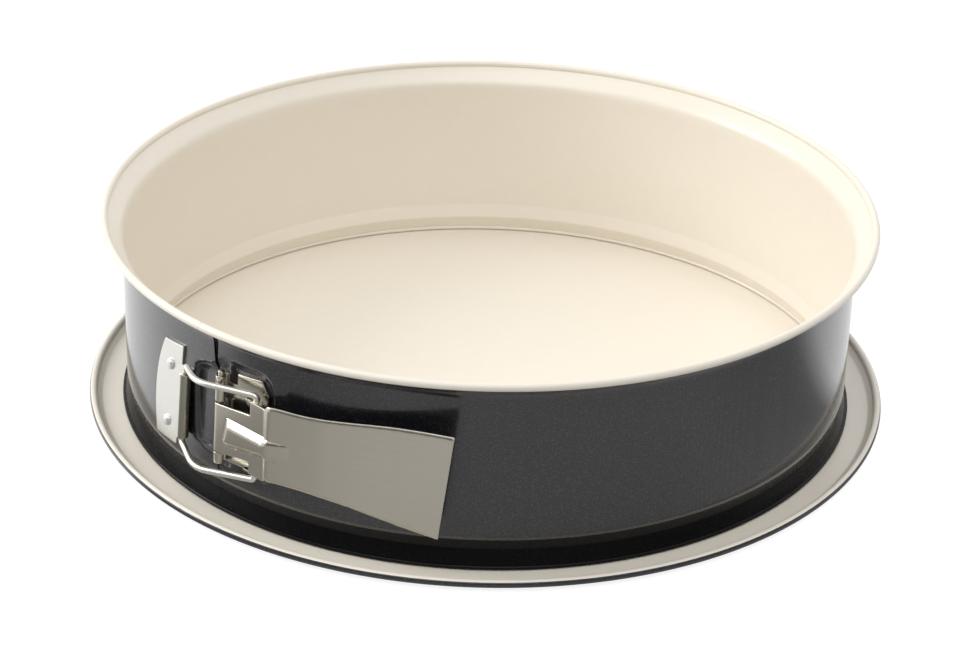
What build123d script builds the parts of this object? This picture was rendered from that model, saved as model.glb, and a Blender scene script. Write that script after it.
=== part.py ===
from build123d import *
from math import cos, sin, radians, degrees
import os

# Round springform cake tin: a wide serving base, an open band closed by a toggle latch.
# Origin at the centre of the base's underside, +Z up, latch at -Y, lengths in millimetres.

# Common
overrun = 4.0
seat_gap = 0.05
running_gap = 0.05

# Band
band_inner_radius = 130.0
band_sheet = 0.5
band_top = 72.6
rim_reach = 7.7
rim_bead_radius = 1.4
rim_rise = 7.4
rim_bend = 4.5
wall_foot_rise = 11.8
wall_foot_bend = 2.0
groove_depth = 1.2
groove_rise = 6.7
groove_bend = 1.0
skirt_reach = 1.8
foot_bead_radius = 0.8
foot_gap = 0.1

# Base plate
base_reach = 13.8
base_sheet = 0.8
lip_width = 4.5
lip_top = 4.2
lip_bead_radius = 1.4
tray_corner = 1.6

# Seam of the band
seam_gap = 0.4
seam_notch_width = 2.7
seam_notch_fall = 18.6
tongue_reach = 8.0
tongue_root = 10.0
tongue_weld = 6.0
tongue_fall = 4.1
tongue_gap = 0.1

# Latch as a whole: arcs are measured from the seam along the band's outside
latch_lean = 3.5
latch_height = 37.0
pin_arc = 3.3
pin_radius = 1.15
pin_length = 36.0
pin_below = 17.5
knuckle_sheet = 0.8

# Pressed pocket under the latch
pocket_depth = 1.0
pocket_height = 42.0
pocket_rise = 1.0
pocket_left = 12.0
pocket_right = 25.5
pocket_corner = 7.0

# Catch plate on the left end of the band
catch_arc = 26.0
catch_drop = 3.2
catch_lean = 9.5
catch_sheet = 0.9
catch_width = 11.4
catch_flare = 2.4
catch_height = 40.4
catch_rise = 0.8
catch_slant = 3.2
catch_bow = 3.4
catch_corner = 1.2
hook_arc = 14.3
hook_lean = 6.5
hook_drop = 2.2
hook_width = 25.5
hook_inner_radius = 1.75
hook_wrap = 40.0
hook_run = 6.6
wire_shift = 0.5

# Rivets
rivet_head_radius = 2.1
rivet_head_height = 1.25
rivet_shank_radius = 1.3
rivet_tail_radius = 2.0
rivet_tail_height = 0.4
rivet_tail_gap = 0.1
catch_rivet_spacing = 23.6
catch_rivet_arc = 26.8

# Hinge bracket on the right end of the band
bracket_sheet = 0.9
bracket_left = 5.0
bracket_right = 24.0
bracket_above = 17.0
bracket_below = 16.5
bracket_corner = 4.0
upper_knuckle_start = 7.2
upper_knuckle_length = 9.4
lower_knuckle_start = 12.6
lower_knuckle_length = 4.2
bracket_rivet_arc = 15.0
bracket_rivet_spacing = 17.0
bracket_rivet_head_height = 0.7

# Lever
lever_sheet = 0.9
lever_length = 84.0
lever_hinge_top = 6.6
lever_hinge_bottom = 12.2
lever_rise = 0.4
lever_root_height = 27.6
lever_flat_end = 22.5
lever_step = 1.0
lever_step_length = 1.6
grip_rise = 2.4
grip_root_height = 28.2
grip_waist_share = 0.25
grip_knee_share = 0.8
grip_knee_drop = 1.0
grip_end_rise = 3.3
grip_end_height = 39.2
grip_end_lean = 2.9
grip_bend_shares = [0.3, 0.68]
grip_hollow = 5.6
grip_end_gap = 9.6
notch_depth_top = 5.4
notch_depth_bottom = 4.6
notch_end = 15.6
rib_start_top = 5.2
rib_start_bottom = 2.9
rib_root_top = 3.0
rib_root_bottom = 7.8
rib_tip = 27.6
rib_tip_top = 3.7
rib_tip_bottom = 3.1
rib_height = 1.5
rib_bevel = 2.0
ear_width = 7.0
ear_sheet = 0.9
ear_depth = 3.4
ear_hole_gap = 0.08
wire_pivot_arc = 16.3
wire_pivot_rise = 0.7

# Wire bail
wire_radius = 1.1
wire_bend = 3.0
wire_end_length = 2.6
upper_arm_gap = 0.5
lower_arm_gap = 2.0
arm_bend_reach = 7.0
arm_bend_rise = 5.0
upper_bend_drop = 2.9
lower_bend_drop = 4.2
leg_length = 30.0
leg_drop = 2.8

# Derived radii and heights
band_outer_radius = band_inner_radius + band_sheet
pocket_floor_radius = band_outer_radius - pocket_depth
rim_radius = band_outer_radius + rim_reach
base_radius = band_outer_radius + base_reach
foot_height = base_sheet + foot_gap
pocket_centre_height = latch_height + pocket_rise
hook_height = latch_height - hook_drop
catch_height_middle = latch_height - catch_drop
knuckle_bore = pin_radius + running_gap
knuckle_radius = knuckle_bore + knuckle_sheet
pin_centre_radius = pocket_floor_radius + bracket_sheet + knuckle_radius
hook_centre_radius = band_outer_radius + catch_sheet + hook_inner_radius
catch_outer_radius = band_outer_radius + catch_sheet


def arc_angle(arc):
    """Angle in degrees from the seam for an arc along the band's outside."""
    return degrees(arc / band_outer_radius)


def facing_plane(arc, radius, height, lean=0.0):
    """Plane that faces outwards: x to the right, y up, turned clockwise by lean."""
    angle = radians(arc_angle(arc))
    tilt = radians(lean)
    across = Vector(cos(angle), sin(angle), 0)
    up = Vector(0, 0, 1)
    return Plane(
        origin=(radius * sin(angle), -radius * cos(angle), height),
        x_dir=across * cos(tilt) - up * sin(tilt),
        z_dir=(sin(angle), -cos(angle), 0),
    )


def section_plane(face):
    """Plane that cuts a facing plane across: x to the right, y outwards."""
    return Plane(origin=face.origin, x_dir=face.x_dir, z_dir=-face.y_dir)


standing = (Align.CENTER, Align.CENTER, Align.MIN)
latch_plane = facing_plane(pin_arc, pin_centre_radius, latch_height, latch_lean)
latch_section = section_plane(latch_plane)
hook_plane = facing_plane(-hook_arc, hook_centre_radius, hook_height, hook_lean)
catch_plane = facing_plane(-catch_arc, band_outer_radius, catch_height_middle, catch_lean)
catch_rivet_plane = facing_plane(-catch_rivet_arc, band_outer_radius, catch_height_middle, catch_lean)
bracket_rivet_plane = facing_plane(
    bracket_rivet_arc, pocket_floor_radius, pocket_centre_height, latch_lean
)


def in_latch(arc, radius, height=latch_height):
    """Place of a point beside the band in the latch plane's own coordinates."""
    angle = radians(arc_angle(arc))
    point = Vector(radius * sin(angle), -radius * cos(angle), height)
    return latch_plane.to_local_coords(point)


def wire_pivot():
    """Centre of the lever's ears in the latch plane's own coordinates."""
    return in_latch(pin_arc + wire_pivot_arc, pin_centre_radius + wire_pivot_rise)


def sheet_face(path, thickness):
    """Section of a bent sheet: a path widened to both sides."""
    return make_face(path.offset_2d(thickness / 2, kind=Kind.ARC, side=Side.BOTH).edges())


def bent_path(points, radii):
    """Polyline with rounded corners, one radius for each inner point."""
    return Wire(FilletPolyline(*points, radius=radii).edges())


def bar(face_plane, x, y, bottom, top, radius):
    """Round bar along the hinge direction of a facing plane."""
    base = Plane(
        origin=face_plane.from_local_coords(Vector(x, bottom, y)),
        x_dir=face_plane.x_dir,
        z_dir=face_plane.y_dir,
    )
    return base * Cylinder(radius, top - bottom, align=standing)


def shell(inner, outer, bottom, top):
    """Upright tube round the tin's axis."""
    height = top - bottom
    tube = Cylinder(outer, height, align=standing) - Cylinder(inner, height, align=standing)
    return Pos(0, 0, bottom) * tube


# Base plate
def make_base_plate():
    half = base_sheet / 2
    bead_centre = base_radius - lip_bead_radius
    tray_radius = base_radius - lip_width
    bead_height = lip_top - lip_bead_radius
    points = [(0, half), (tray_radius, half), (bead_centre, bead_height)]
    path = bent_path(points, [tray_corner])
    keep = Pos(base_radius / 2, 0) * Rectangle(base_radius, 2 * base_radius)
    section = (sheet_face(path, base_sheet) + Pos(bead_centre, bead_height) * Circle(lip_bead_radius)) & keep
    return revolve(Plane.XZ * section, Axis.Z, 360)


# Band
def band_section():
    wall_line = band_inner_radius + band_sheet / 2
    rim_centre = rim_radius - rim_bead_radius
    rim_height = band_top - rim_bead_radius
    foot_centre = band_outer_radius + skirt_reach - foot_bead_radius
    foot_middle = foot_height + foot_bead_radius
    points = [
        (foot_centre, foot_middle),
        (wall_line - groove_depth, foot_height + groove_rise),
        (wall_line, foot_height + wall_foot_rise),
        (wall_line, band_top - rim_rise),
        (rim_centre, rim_height),
    ]
    sheet = sheet_face(bent_path(points, [groove_bend, wall_foot_bend, rim_bend]), band_sheet)
    foot = Pos(foot_centre, foot_middle) * Circle(foot_bead_radius)
    return sheet + foot + Pos(rim_centre, rim_height) * Circle(rim_bead_radius)


def seam_cutter():
    """Narrow slot through the whole seam, with a notch that ends under the rim's bead."""
    front = Plane(origin=(0, 0, 0), x_dir=(1, 0, 0), z_dir=(0, -1, 0))
    notch_top = band_top - 2 * rim_bead_radius
    notch_foot = notch_top - seam_notch_fall
    slot_height = (band_top + overrun) / 2
    slot = Pos(0, slot_height) * Rectangle(seam_gap, 2 * (slot_height + overrun))
    notch = [
        (-seam_gap / 2, notch_foot),
        (seam_gap / 2, notch_foot),
        (seam_notch_width / 2, notch_top),
        (-seam_notch_width / 2, notch_top),
    ]
    slit = extrude(front * slot, base_radius)
    return slit + extrude(front * flat_shape(notch), base_radius)


def seam_tongue():
    """Strip of the left half that lies behind the seam."""
    outer = pocket_floor_radius - band_sheet - tongue_gap
    top = band_top - tongue_fall
    bottom = foot_height + wall_foot_rise + foot_gap
    middle = (tongue_reach - tongue_root) / 2
    face = facing_plane(middle, band_outer_radius, (top + bottom) / 2)
    strip = extrude(face * Rectangle(tongue_reach + tongue_root, top - bottom), pin_length, both=True)
    weld_face = facing_plane(tongue_weld / 2 - tongue_root, band_outer_radius, pocket_centre_height)
    weld_height = pocket_height - 2 * pocket_corner
    weld = extrude(weld_face * Rectangle(tongue_weld, weld_height), pin_length, both=True)
    inner = outer - band_sheet
    weld_outer = outer + tongue_gap + band_sheet / 2
    return (strip & shell(inner, outer, 0, band_top)) + (weld & shell(inner, weld_outer, 0, band_top))


def pocket_prism(growth):
    width = pocket_left + pocket_right
    middle = (pocket_right - pocket_left) / 2
    face = facing_plane(middle, band_outer_radius, pocket_centre_height, latch_lean)
    outline = RectangleRounded(width + 2 * growth, pocket_height + 2 * growth, pocket_corner + growth)
    return extrude(face * outline, pin_length, both=True)


def make_band(side):
    """Half of the band: side +1 is the right half with the hinge, -1 the left half."""
    start = Rot(0, 0, -90) * (Plane.XZ * band_section())
    half_turn = revolve(start, Axis.Z, 180 * side)
    recess = pocket_prism(0) & shell(pocket_floor_radius, rim_radius, 0, band_top)
    pan_inner = pocket_floor_radius - band_sheet
    floor_pan = pocket_prism(band_sheet) & shell(pan_inner, band_inner_radius + seat_gap, 0, band_top)
    side_box = Pos(side * base_radius / 2, 0, 0) * Box(base_radius, 2 * base_radius, 2 * band_top)
    if side > 0:
        places = rivet_places(bracket_rivet_plane, bracket_rivet_spacing)
    else:
        places = rivet_places(catch_rivet_plane, catch_rivet_spacing)
    holes = [rivet_hole(place) for place in places]
    band = (half_turn + (floor_pan & side_box)) - recess - seam_cutter() - holes
    return band if side > 0 else band + seam_tongue()


def rivet_places(plane, spacing):
    return [plane * Pos(0, side * spacing / 2, 0) for side in (1, -1)]


def make_rivet(place, seat, head_height):
    """Domed rivet that starts on its seat and is spread inside the band."""
    wall = band_sheet + rivet_tail_gap
    head_sphere = (rivet_head_radius**2 + head_height**2) / (2 * head_height)
    ball = Pos(0, 0, seat + head_height - head_sphere) * Sphere(head_sphere)
    head = ball & (Pos(0, 0, seat) * Cylinder(rivet_head_radius, head_height, align=standing))
    shank_length = seat + wall
    shank = Pos(0, 0, -wall) * Cylinder(rivet_shank_radius, shank_length, align=standing)
    tail = Pos(0, 0, -wall - rivet_tail_height) * Cylinder(
        rivet_tail_radius, rivet_tail_height, align=standing
    )
    return place * (head + shank + tail)


def rivet_hole(place):
    return place * Cylinder(rivet_shank_radius, 2 * overrun)


# Catch plate with its hook
def make_catch_plate():
    right = catch_width / 2
    top = catch_rise + catch_height / 2
    bottom = catch_rise - catch_height / 2
    upper_left = (-right, top - catch_slant / 2)
    lower_left = (-right - catch_flare, bottom - catch_slant / 2)
    upper_right = (right, top + catch_slant / 2)
    lower_right = (right, bottom + catch_slant / 2)
    bulge = (-right - catch_flare / 2 - catch_bow, (top + bottom - catch_slant) / 2)
    bow = Edge.make_three_point_arc(lower_left, bulge, upper_left)
    sides = Polyline(upper_left, upper_right, lower_right, lower_left).edges()
    outline = make_face([bow, *sides])
    outline = fillet(outline.vertices(), catch_corner)
    prism = extrude(catch_plane * outline, overrun, both=True)
    plate = prism & shell(band_outer_radius, catch_outer_radius, 0, band_top)
    holes = [rivet_hole(place) for place in rivet_places(catch_rivet_plane, catch_rivet_spacing)]
    return (plate + hook_strip()) - holes


def hook_strip():
    """Tongue of the catch plate, bent out and back round the wire."""
    radius = hook_inner_radius + catch_sheet / 2
    ends = [-90, (hook_wrap - 90) / 2, hook_wrap]
    arc_points = [(radius * cos(radians(angle)), radius * sin(radians(angle))) for angle in ends]
    arc = Edge.make_three_point_arc(*arc_points)
    start = Edge.make_line((-hook_run, -radius), (0, -radius))
    section = section_plane(hook_plane) * sheet_face(Wire([start, arc]), catch_sheet)
    return extrude(section, hook_width / 2, both=True)


# Hinge bracket
def make_bracket():
    middle = (bracket_left + bracket_right) / 2
    height = bracket_above + bracket_below
    height_middle = latch_height + (bracket_above - bracket_below) / 2
    face = facing_plane(middle, band_outer_radius, height_middle, latch_lean)
    outline = Rectangle(bracket_right - bracket_left, height)
    outline = chamfer(outline.vertices().group_by(Axis.X)[-1], bracket_corner)
    prism = extrude(face * outline, overrun, both=True)
    plate = prism & shell(pocket_floor_radius, pocket_floor_radius + bracket_sheet, 0, band_top)
    root_x = in_latch(bracket_left + bracket_sheet, pin_centre_radius).X
    web = latch_section * (
        Pos(root_x / 2, -knuckle_radius) * Rectangle(root_x + knuckle_sheet, 2 * knuckle_sheet)
    )
    web = extrude(web, height, both=True)
    low = -lower_knuckle_start - lower_knuckle_length
    high = upper_knuckle_start + upper_knuckle_length
    spans = [(low, -lower_knuckle_start), (upper_knuckle_start, high)]
    bracket = plate
    for bottom, top in spans:
        knuckle = bar(latch_plane, 0, 0, bottom, top, knuckle_radius)
        slab = bar(latch_plane, 0, 0, bottom, top, pin_centre_radius - pocket_floor_radius + root_x)
        bracket = bracket + knuckle + (web & slab)
    holes = [rivet_hole(place) for place in rivet_places(bracket_rivet_plane, bracket_rivet_spacing)]
    return bracket - bar(latch_plane, 0, 0, low - overrun, high + overrun, knuckle_bore) - holes


def make_pin():
    bottom = -pin_below
    return bar(latch_plane, 0, 0, bottom, bottom + pin_length, pin_radius)


# Lever
def make_lever():
    level = knuckle_radius - lever_sheet / 2
    raised = level + lever_step
    step_end = lever_flat_end + lever_step_length
    grip = lever_length - step_end
    hollow_radius = band_outer_radius + grip_hollow
    bends = [in_latch(pin_arc + step_end + share * grip, hollow_radius) for share in grip_bend_shares]
    end = in_latch(pin_arc + lever_length, band_outer_radius + grip_end_gap)
    points = [(0, level), (lever_flat_end, level), (step_end, raised)]
    points += [(bend.X, bend.Z) for bend in bends + [end]]
    radii = [lever_step_length / 2, lever_step_length / 2] + [grip / 2] * len(bends)
    section = sheet_face(bent_path(points, radii), lever_sheet)
    blank = extrude(latch_section * section, grip_end_height, both=True)
    prism = extrude(latch_plane * lever_outline(end.X), lever_length, both=True)
    top = lever_hinge_top
    bottom = -lever_hinge_bottom
    knuckle = bar(latch_plane, 0, 0, bottom, top, knuckle_radius)
    bore = bar(latch_plane, 0, 0, bottom - overrun, top + overrun, knuckle_bore)
    lever = (blank & prism) + knuckle - bore
    for side in (1, -1):
        lever = lever + lever_ear(side)
    return lever + lever_rib()


def lever_rib():
    """Raised rib of the lever with bevelled sides; it runs out beyond the step."""
    foot = flat_shape([
        (rib_start_bottom, -rib_root_bottom),
        (rib_tip, -rib_tip_bottom),
        (rib_tip, rib_tip_top),
        (rib_start_top, rib_root_top),
    ])
    crest = offset(foot, -rib_bevel, kind=Kind.INTERSECTION)
    low = Pos(0, 0, knuckle_radius - lever_sheet / 2) * foot
    high = Pos(0, 0, knuckle_radius + rib_height) * crest
    return latch_plane * loft([low, high])


def flat_shape(points):
    return make_face(Polyline(*points, close=True).edges())


def lever_outline(end_x):
    top = lever_rise + lever_root_height / 2
    bottom = lever_rise - lever_root_height / 2
    grip_top = grip_rise + grip_root_height / 2
    grip_bottom = grip_rise - grip_root_height / 2
    end_top = grip_end_rise + grip_end_height / 2
    end_bottom = grip_end_rise - grip_end_height / 2
    waist = lever_flat_end + (end_x - lever_flat_end) * grip_waist_share
    knee = lever_flat_end + (end_x - lever_flat_end) * grip_knee_share
    step_end = lever_flat_end + lever_step_length
    points = [
        (-knuckle_radius, lever_hinge_top),
        (0, lever_hinge_top),
        (notch_end, top - notch_depth_top),
        (notch_end, top),
        (lever_flat_end, top),
        (step_end, grip_top),
        (waist, grip_top),
        (knee, end_top - grip_knee_drop),
        (end_x + grip_end_lean / 2, end_top),
        (end_x - grip_end_lean / 2, end_bottom),
        (knee, end_bottom + grip_knee_drop),
        (waist, grip_bottom),
        (step_end, grip_bottom),
        (lever_flat_end, bottom),
        (notch_end, bottom),
        (notch_end, bottom + notch_depth_bottom),
        (0, -lever_hinge_bottom),
        (-knuckle_radius, -lever_hinge_bottom),
    ]
    return flat_shape(points)


def lever_ear(side):
    """Flange folded towards the band that carries one end of the wire."""
    pivot = wire_pivot()
    edge = lever_rise + side * (lever_root_height / 2 - ear_sheet / 2)
    base = Plane(
        origin=latch_plane.from_local_coords(Vector(pivot.X, edge, 0)),
        x_dir=latch_plane.x_dir,
        z_dir=-latch_plane.y_dir,
    )
    outline = Pos(0, knuckle_radius - ear_depth / 2) * Rectangle(ear_width, ear_depth)
    tip = Pos(0, pivot.Z) * Circle(wire_radius + ear_sheet)
    hole = Pos(0, pivot.Z) * Circle(wire_radius + ear_hole_gap)
    return extrude(base * (outline + tip - hole), ear_sheet / 2, both=True)


# Wire bail
def make_bail():
    pivot = wire_pivot()
    leg = latch_plane.to_local_coords(hook_plane.origin - hook_plane.x_dir * wire_shift)
    leg_lean = radians(hook_lean - latch_lean)
    along = Vector(sin(leg_lean), cos(leg_lean), 0)
    leg_middle = leg - along * (leg.Y + leg_drop)
    half_lever = lever_root_height / 2
    top = lever_rise + half_lever + upper_arm_gap + wire_radius
    bottom = lever_rise - half_lever - lower_arm_gap - wire_radius
    points = [
        Vector(pivot.X, top - upper_arm_gap - wire_end_length - wire_radius, pivot.Z),
        Vector(pivot.X, top, pivot.Z),
        Vector(-arm_bend_reach, top - upper_bend_drop, arm_bend_rise),
        leg_middle + along * (leg_length / 2),
        leg_middle - along * (leg_length / 2),
        Vector(-arm_bend_reach, bottom - lower_bend_drop, arm_bend_rise),
        Vector(pivot.X, bottom, pivot.Z),
        Vector(pivot.X, bottom + lower_arm_gap + wire_end_length + wire_radius, pivot.Z),
    ]
    world = [latch_plane.from_local_coords(point) for point in points]
    radii = [wire_bend / 2, wire_bend, wire_bend / 2, wire_bend / 2, wire_bend, wire_bend / 2]
    path = Wire(FilletPolyline(*world, radius=radii).edges())
    start = Plane(origin=path @ 0, z_dir=path % 0)
    return sweep(start * Circle(wire_radius), path)


# Rivet groups
def make_catch_rivets():
    places = rivet_places(catch_rivet_plane, catch_rivet_spacing)
    return Compound([make_rivet(place, catch_sheet, rivet_head_height) for place in places])


def make_bracket_rivets():
    places = rivet_places(bracket_rivet_plane, bracket_rivet_spacing)
    return Compound([make_rivet(place, bracket_sheet, bracket_rivet_head_height) for place in places])


pieces = {
    "base_plate": make_base_plate,
    "ring_band_right": lambda: make_band(1),
    "ring_band_left": lambda: make_band(-1),
    "catch_plate": make_catch_plate,
    "catch_rivets": make_catch_rivets,
    "hinge_bracket": make_bracket,
    "bracket_rivets": make_bracket_rivets,
    "hinge_pin": make_pin,
    "lever": make_lever,
    "wire_bail": make_bail,
}


os.makedirs("parts", exist_ok=True)
for name, make in pieces.items():
    export_step(make(), "parts/" + name + ".step")
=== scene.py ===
"""Looks of a round springform cake tin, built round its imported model.

The tin is a serving base, a band that opens at a seam, and a toggle latch of sheet steel and wire.
Every size is in millimetres in the classes below and is put into metres when a mesh is made.
"""

import logging
import math
from dataclasses import dataclass
from enum import Enum
from typing import Callable, Optional, Sequence

import bpy
import numpy as np
from mathutils import Matrix, Vector
from mathutils.geometry import delaunay_2d_cdt


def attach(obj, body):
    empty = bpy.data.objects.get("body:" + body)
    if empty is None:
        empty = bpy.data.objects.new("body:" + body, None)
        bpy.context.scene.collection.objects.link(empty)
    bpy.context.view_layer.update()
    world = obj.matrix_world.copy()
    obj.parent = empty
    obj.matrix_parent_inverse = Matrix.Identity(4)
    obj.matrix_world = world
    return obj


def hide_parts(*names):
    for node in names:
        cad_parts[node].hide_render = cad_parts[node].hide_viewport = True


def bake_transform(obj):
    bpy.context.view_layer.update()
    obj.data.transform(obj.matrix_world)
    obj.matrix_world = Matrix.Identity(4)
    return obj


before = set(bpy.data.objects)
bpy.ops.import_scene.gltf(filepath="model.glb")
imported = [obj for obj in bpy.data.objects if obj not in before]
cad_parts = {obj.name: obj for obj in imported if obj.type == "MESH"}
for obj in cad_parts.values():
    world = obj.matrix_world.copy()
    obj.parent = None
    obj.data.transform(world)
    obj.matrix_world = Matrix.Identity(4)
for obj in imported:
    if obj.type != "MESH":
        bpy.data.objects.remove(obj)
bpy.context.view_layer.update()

LOG = logging.getLogger("cake_tin")
MM = 0.001
BAND_INNER = 130.0
BAND_SHEET = 0.5
BAND_OUTER = BAND_INNER + BAND_SHEET
COAT_ROUGHNESS = 0.12
BUMP_DEPTH = 0.1
WELD_REACH = 0.001
DOME = 0.4
DOME_TURNS = (0.0, 25.0, 50.0, 72.0)
BAR_SIDE = (0.3, 0.2, 0.9)
BAR_SHARP = 60.0
HOLE_ARC = (0, 345, 24)
EDGE_TURNS = (67.5, 45.0, 22.5, 0.0, 0.0, -22.5, -45.0, -67.5)
TINY = 1e-6
Point2 = tuple[float, float]
Inputs = dict[object, object]
Colour = tuple[float, float, float]


class Body(Enum):
    """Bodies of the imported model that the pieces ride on."""

    BASE = "base"
    RING = "ring"
    RING_END = "ring_end"
    LEVER = "lever"
    BAIL = "bail"


class Side(Enum):
    """Halves of the band, by the sign of X."""

    RIGHT = 1
    LEFT = -1


def srgb(red: int, green: int, blue: int) -> Colour:
    """Linear colour of an sRGB colour that is given in steps of 255.

    Args:
        red: red from 0 to 255.
        green: green from 0 to 255.
        blue: blue from 0 to 255.

    Returns:
        The colour.
    """

    def linear(step: int) -> float:
        """Linear value of one channel."""
        share = step / 255
        return share / 12.92 if share <= 0.04045 else ((share + 0.055) / 1.055) ** 2.4

    return linear(red), linear(green), linear(blue)


class NodeSheet:
    """Short way to fill a node tree."""

    def __init__(self, tree: bpy.types.NodeTree) -> None:
        """Keep the tree and clear it.

        Args:
            tree: the node tree to fill.
        """
        self.tree = tree
        tree.nodes.clear()

    def fill(self, target: bpy.types.NodeSocket, value: object) -> None:
        """Join an output to an input, or set the input to a plain value.

        Args:
            target: the input.
            value: an output socket or a value.
        """
        if isinstance(value, bpy.types.NodeSocket):
            self.tree.links.new(value, target)
        else:
            target.default_value = value

    def add(self, kind: str, inputs: Optional[Inputs] = None, **settings: object) -> bpy.types.Node:
        """Add a node.

        Args:
            kind: the node's type name.
            inputs: a socket or value for each named or numbered input.
            settings: attributes to set on it.

        Returns:
            The new node.
        """
        node = self.tree.nodes.new(kind)
        for name, value in settings.items():
            setattr(node, name, value)
        for key, value in (inputs or {}).items():
            self.fill(node.inputs[key], value)
        return node

    def math(self, operation: str, *values: object, clamp: bool = False) -> bpy.types.NodeSocket:
        """Add a Math node.

        Args:
            operation: the node's operation.
            values: sockets or numbers for its inputs, in order.
            clamp: whether the result is kept between 0 and 1.

        Returns:
            The node's output socket.
        """
        inputs = dict(enumerate(values))
        return self.add("ShaderNodeMath", inputs, operation=operation, use_clamp=clamp).outputs[0]

    def mix(self, share: object, low: object, high: object) -> bpy.types.NodeSocket:
        """Add a colour mix.

        Args:
            share: socket or number between 0 and 1.
            low: socket or colour at share 0.
            high: socket or colour at share 1.

        Returns:
            The colour socket.
        """
        low, high = ((*value, 1.0) if isinstance(value, tuple) else value for value in (low, high))
        return self.add("ShaderNodeMix", {0: share, 6: low, 7: high}, data_type="RGBA").outputs[2]


def new_group(name: str, kind: str, inputs: dict[str, str], outputs: dict[str, str]) -> tuple:
    """Start a node group.

    Args:
        name: the group's name.
        kind: Shader or Geometry.
        inputs: the socket kind of each named input, such as Float.
        outputs: the socket kind of each named output.

    Returns:
        The group's tree, its sheet, what its input node gives and what its output node takes.
    """
    tree = bpy.data.node_groups.new(name, f"{kind}NodeTree")
    for way, sockets in (("INPUT", inputs), ("OUTPUT", outputs)):
        for label, socket in sockets.items():
            tree.interface.new_socket(label, in_out=way, socket_type=f"NodeSocket{socket}")
    sheet = NodeSheet(tree)
    return tree, sheet, sheet.add("NodeGroupInput").outputs, sheet.add("NodeGroupOutput").inputs


class Effects:
    """Shader effects that more than one finish uses, each built once."""

    FLECK_FALL = 1.6
    FINE_GRAIN = 4.0
    FINE_SHARE = 0.5
    _groups: dict[str, bpy.types.NodeTree] = {}

    @classmethod
    def fleck(cls) -> bpy.types.NodeTree:
        """Fine bright flecks that lie scattered in a coating.

        Returns:
            A group with the inputs Scale and Cover and the output Mask.
        """
        if "fleck" not in cls._groups:
            sizes = {"Scale": "Float", "Cover": "Float"}
            tree, sheet, given, out = new_group("coating_fleck", "Shader", sizes, {"Mask": "Float"})
            place = sheet.add("ShaderNodeTexCoord").outputs["Object"]
            cells = sheet.add("ShaderNodeTexVoronoi", {"Vector": place, "Scale": given["Scale"]})
            pick = sheet.add("ShaderNodeSeparateColor", {0: cells.outputs["Color"]})
            chosen = sheet.math("LESS_THAN", pick.outputs[0], given["Cover"])
            fall = sheet.math("MULTIPLY", cells.outputs["Distance"], cls.FLECK_FALL)
            strength = sheet.math("MULTIPLY", sheet.math("SUBTRACT", 1.0, fall, clamp=True), pick.outputs[1])
            sheet.fill(out["Mask"], sheet.math("MULTIPLY", chosen, strength))
            cls._groups["fleck"] = tree
        return cls._groups["fleck"]

    @classmethod
    def grain(cls) -> bpy.types.NodeTree:
        """Soft uneven grain of a sprayed or rolled surface.

        Returns:
            A group with the inputs Scale and Stretch and the outputs Value and Height.
        """
        if "grain" not in cls._groups:
            sizes = {"Scale": "Float", "Stretch": "Float"}
            results = {"Value": "Float", "Height": "Float"}
            tree, sheet, given, out = new_group("surface_grain", "Shader", sizes, results)
            place = sheet.add("ShaderNodeTexCoord").outputs["Object"]
            along = sheet.add("ShaderNodeCombineXYZ", {0: 1.0, 1: 1.0, 2: given["Stretch"]}).outputs[0]
            spot = sheet.add("ShaderNodeVectorMath", {0: place, 1: along}, operation="MULTIPLY").outputs[0]
            broad = {"Vector": spot, "Scale": given["Scale"], "Detail": 3.0}
            broad = sheet.add("ShaderNodeTexNoise", broad).outputs["Fac"]
            close = sheet.math("MULTIPLY", given["Scale"], cls.FINE_GRAIN)
            fine = {"Vector": spot, "Scale": close, "Detail": 2.0}
            fine = sheet.add("ShaderNodeTexNoise", fine).outputs["Fac"]
            sheet.fill(out["Value"], broad)
            sheet.fill(out["Height"], sheet.math("ADD", broad, sheet.math("MULTIPLY", fine, cls.FINE_SHARE)))
            cls._groups["grain"] = tree
        return cls._groups["grain"]


@dataclass(frozen=True)
class Finish:
    """A surface finish: its colours, gloss and grain."""

    name: str
    colour: Colour
    second_colour: Colour
    roughness: float
    roughness_spread: float = 0.06
    metallic: float = 0.0
    coat: float = 0.0
    grain_scale: float = 400.0
    grain_stretch: float = 1.0
    bump: float = 0.02
    fleck_colour: Optional[Colour] = None
    fleck_scale: float = 1500.0
    fleck_cover: float = 0.2
    specular: float = 0.5

    def material(self) -> bpy.types.Material:
        """Build the material, or fetch it if it is there.

        Returns:
            The material.
        """
        known = bpy.data.materials.get(self.name)
        if known:
            return known
        made = bpy.data.materials.new(self.name)
        made.use_nodes = True
        sheet = NodeSheet(made.node_tree)
        sizes = {"Scale": self.grain_scale, "Stretch": self.grain_stretch}
        grain = sheet.add("ShaderNodeGroup", sizes, node_tree=Effects.grain()).outputs
        colour = sheet.mix(grain["Value"], self.colour, self.second_colour)
        if self.fleck_colour:
            sizes = {"Scale": self.fleck_scale, "Cover": self.fleck_cover}
            fleck = sheet.add("ShaderNodeGroup", sizes, node_tree=Effects.fleck())
            colour = sheet.mix(fleck.outputs["Mask"], colour, self.fleck_colour)
        rough = sheet.math("MULTIPLY_ADD", grain["Value"], self.roughness_spread, self.roughness)
        relief = {"Strength": self.bump, "Distance": BUMP_DEPTH * MM, "Height": grain["Height"]}
        surface = {
            "Base Color": colour,
            "Metallic": self.metallic,
            "Roughness": rough,
            "Specular IOR Level": self.specular,
            "Coat Weight": self.coat,
            "Coat Roughness": COAT_ROUGHNESS,
            "Normal": sheet.add("ShaderNodeBump", relief).outputs["Normal"],
        }
        shader = sheet.add("ShaderNodeBsdfPrincipled", surface)
        sheet.add("ShaderNodeOutputMaterial", {"Surface": shader.outputs[0]})
        return made


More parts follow.
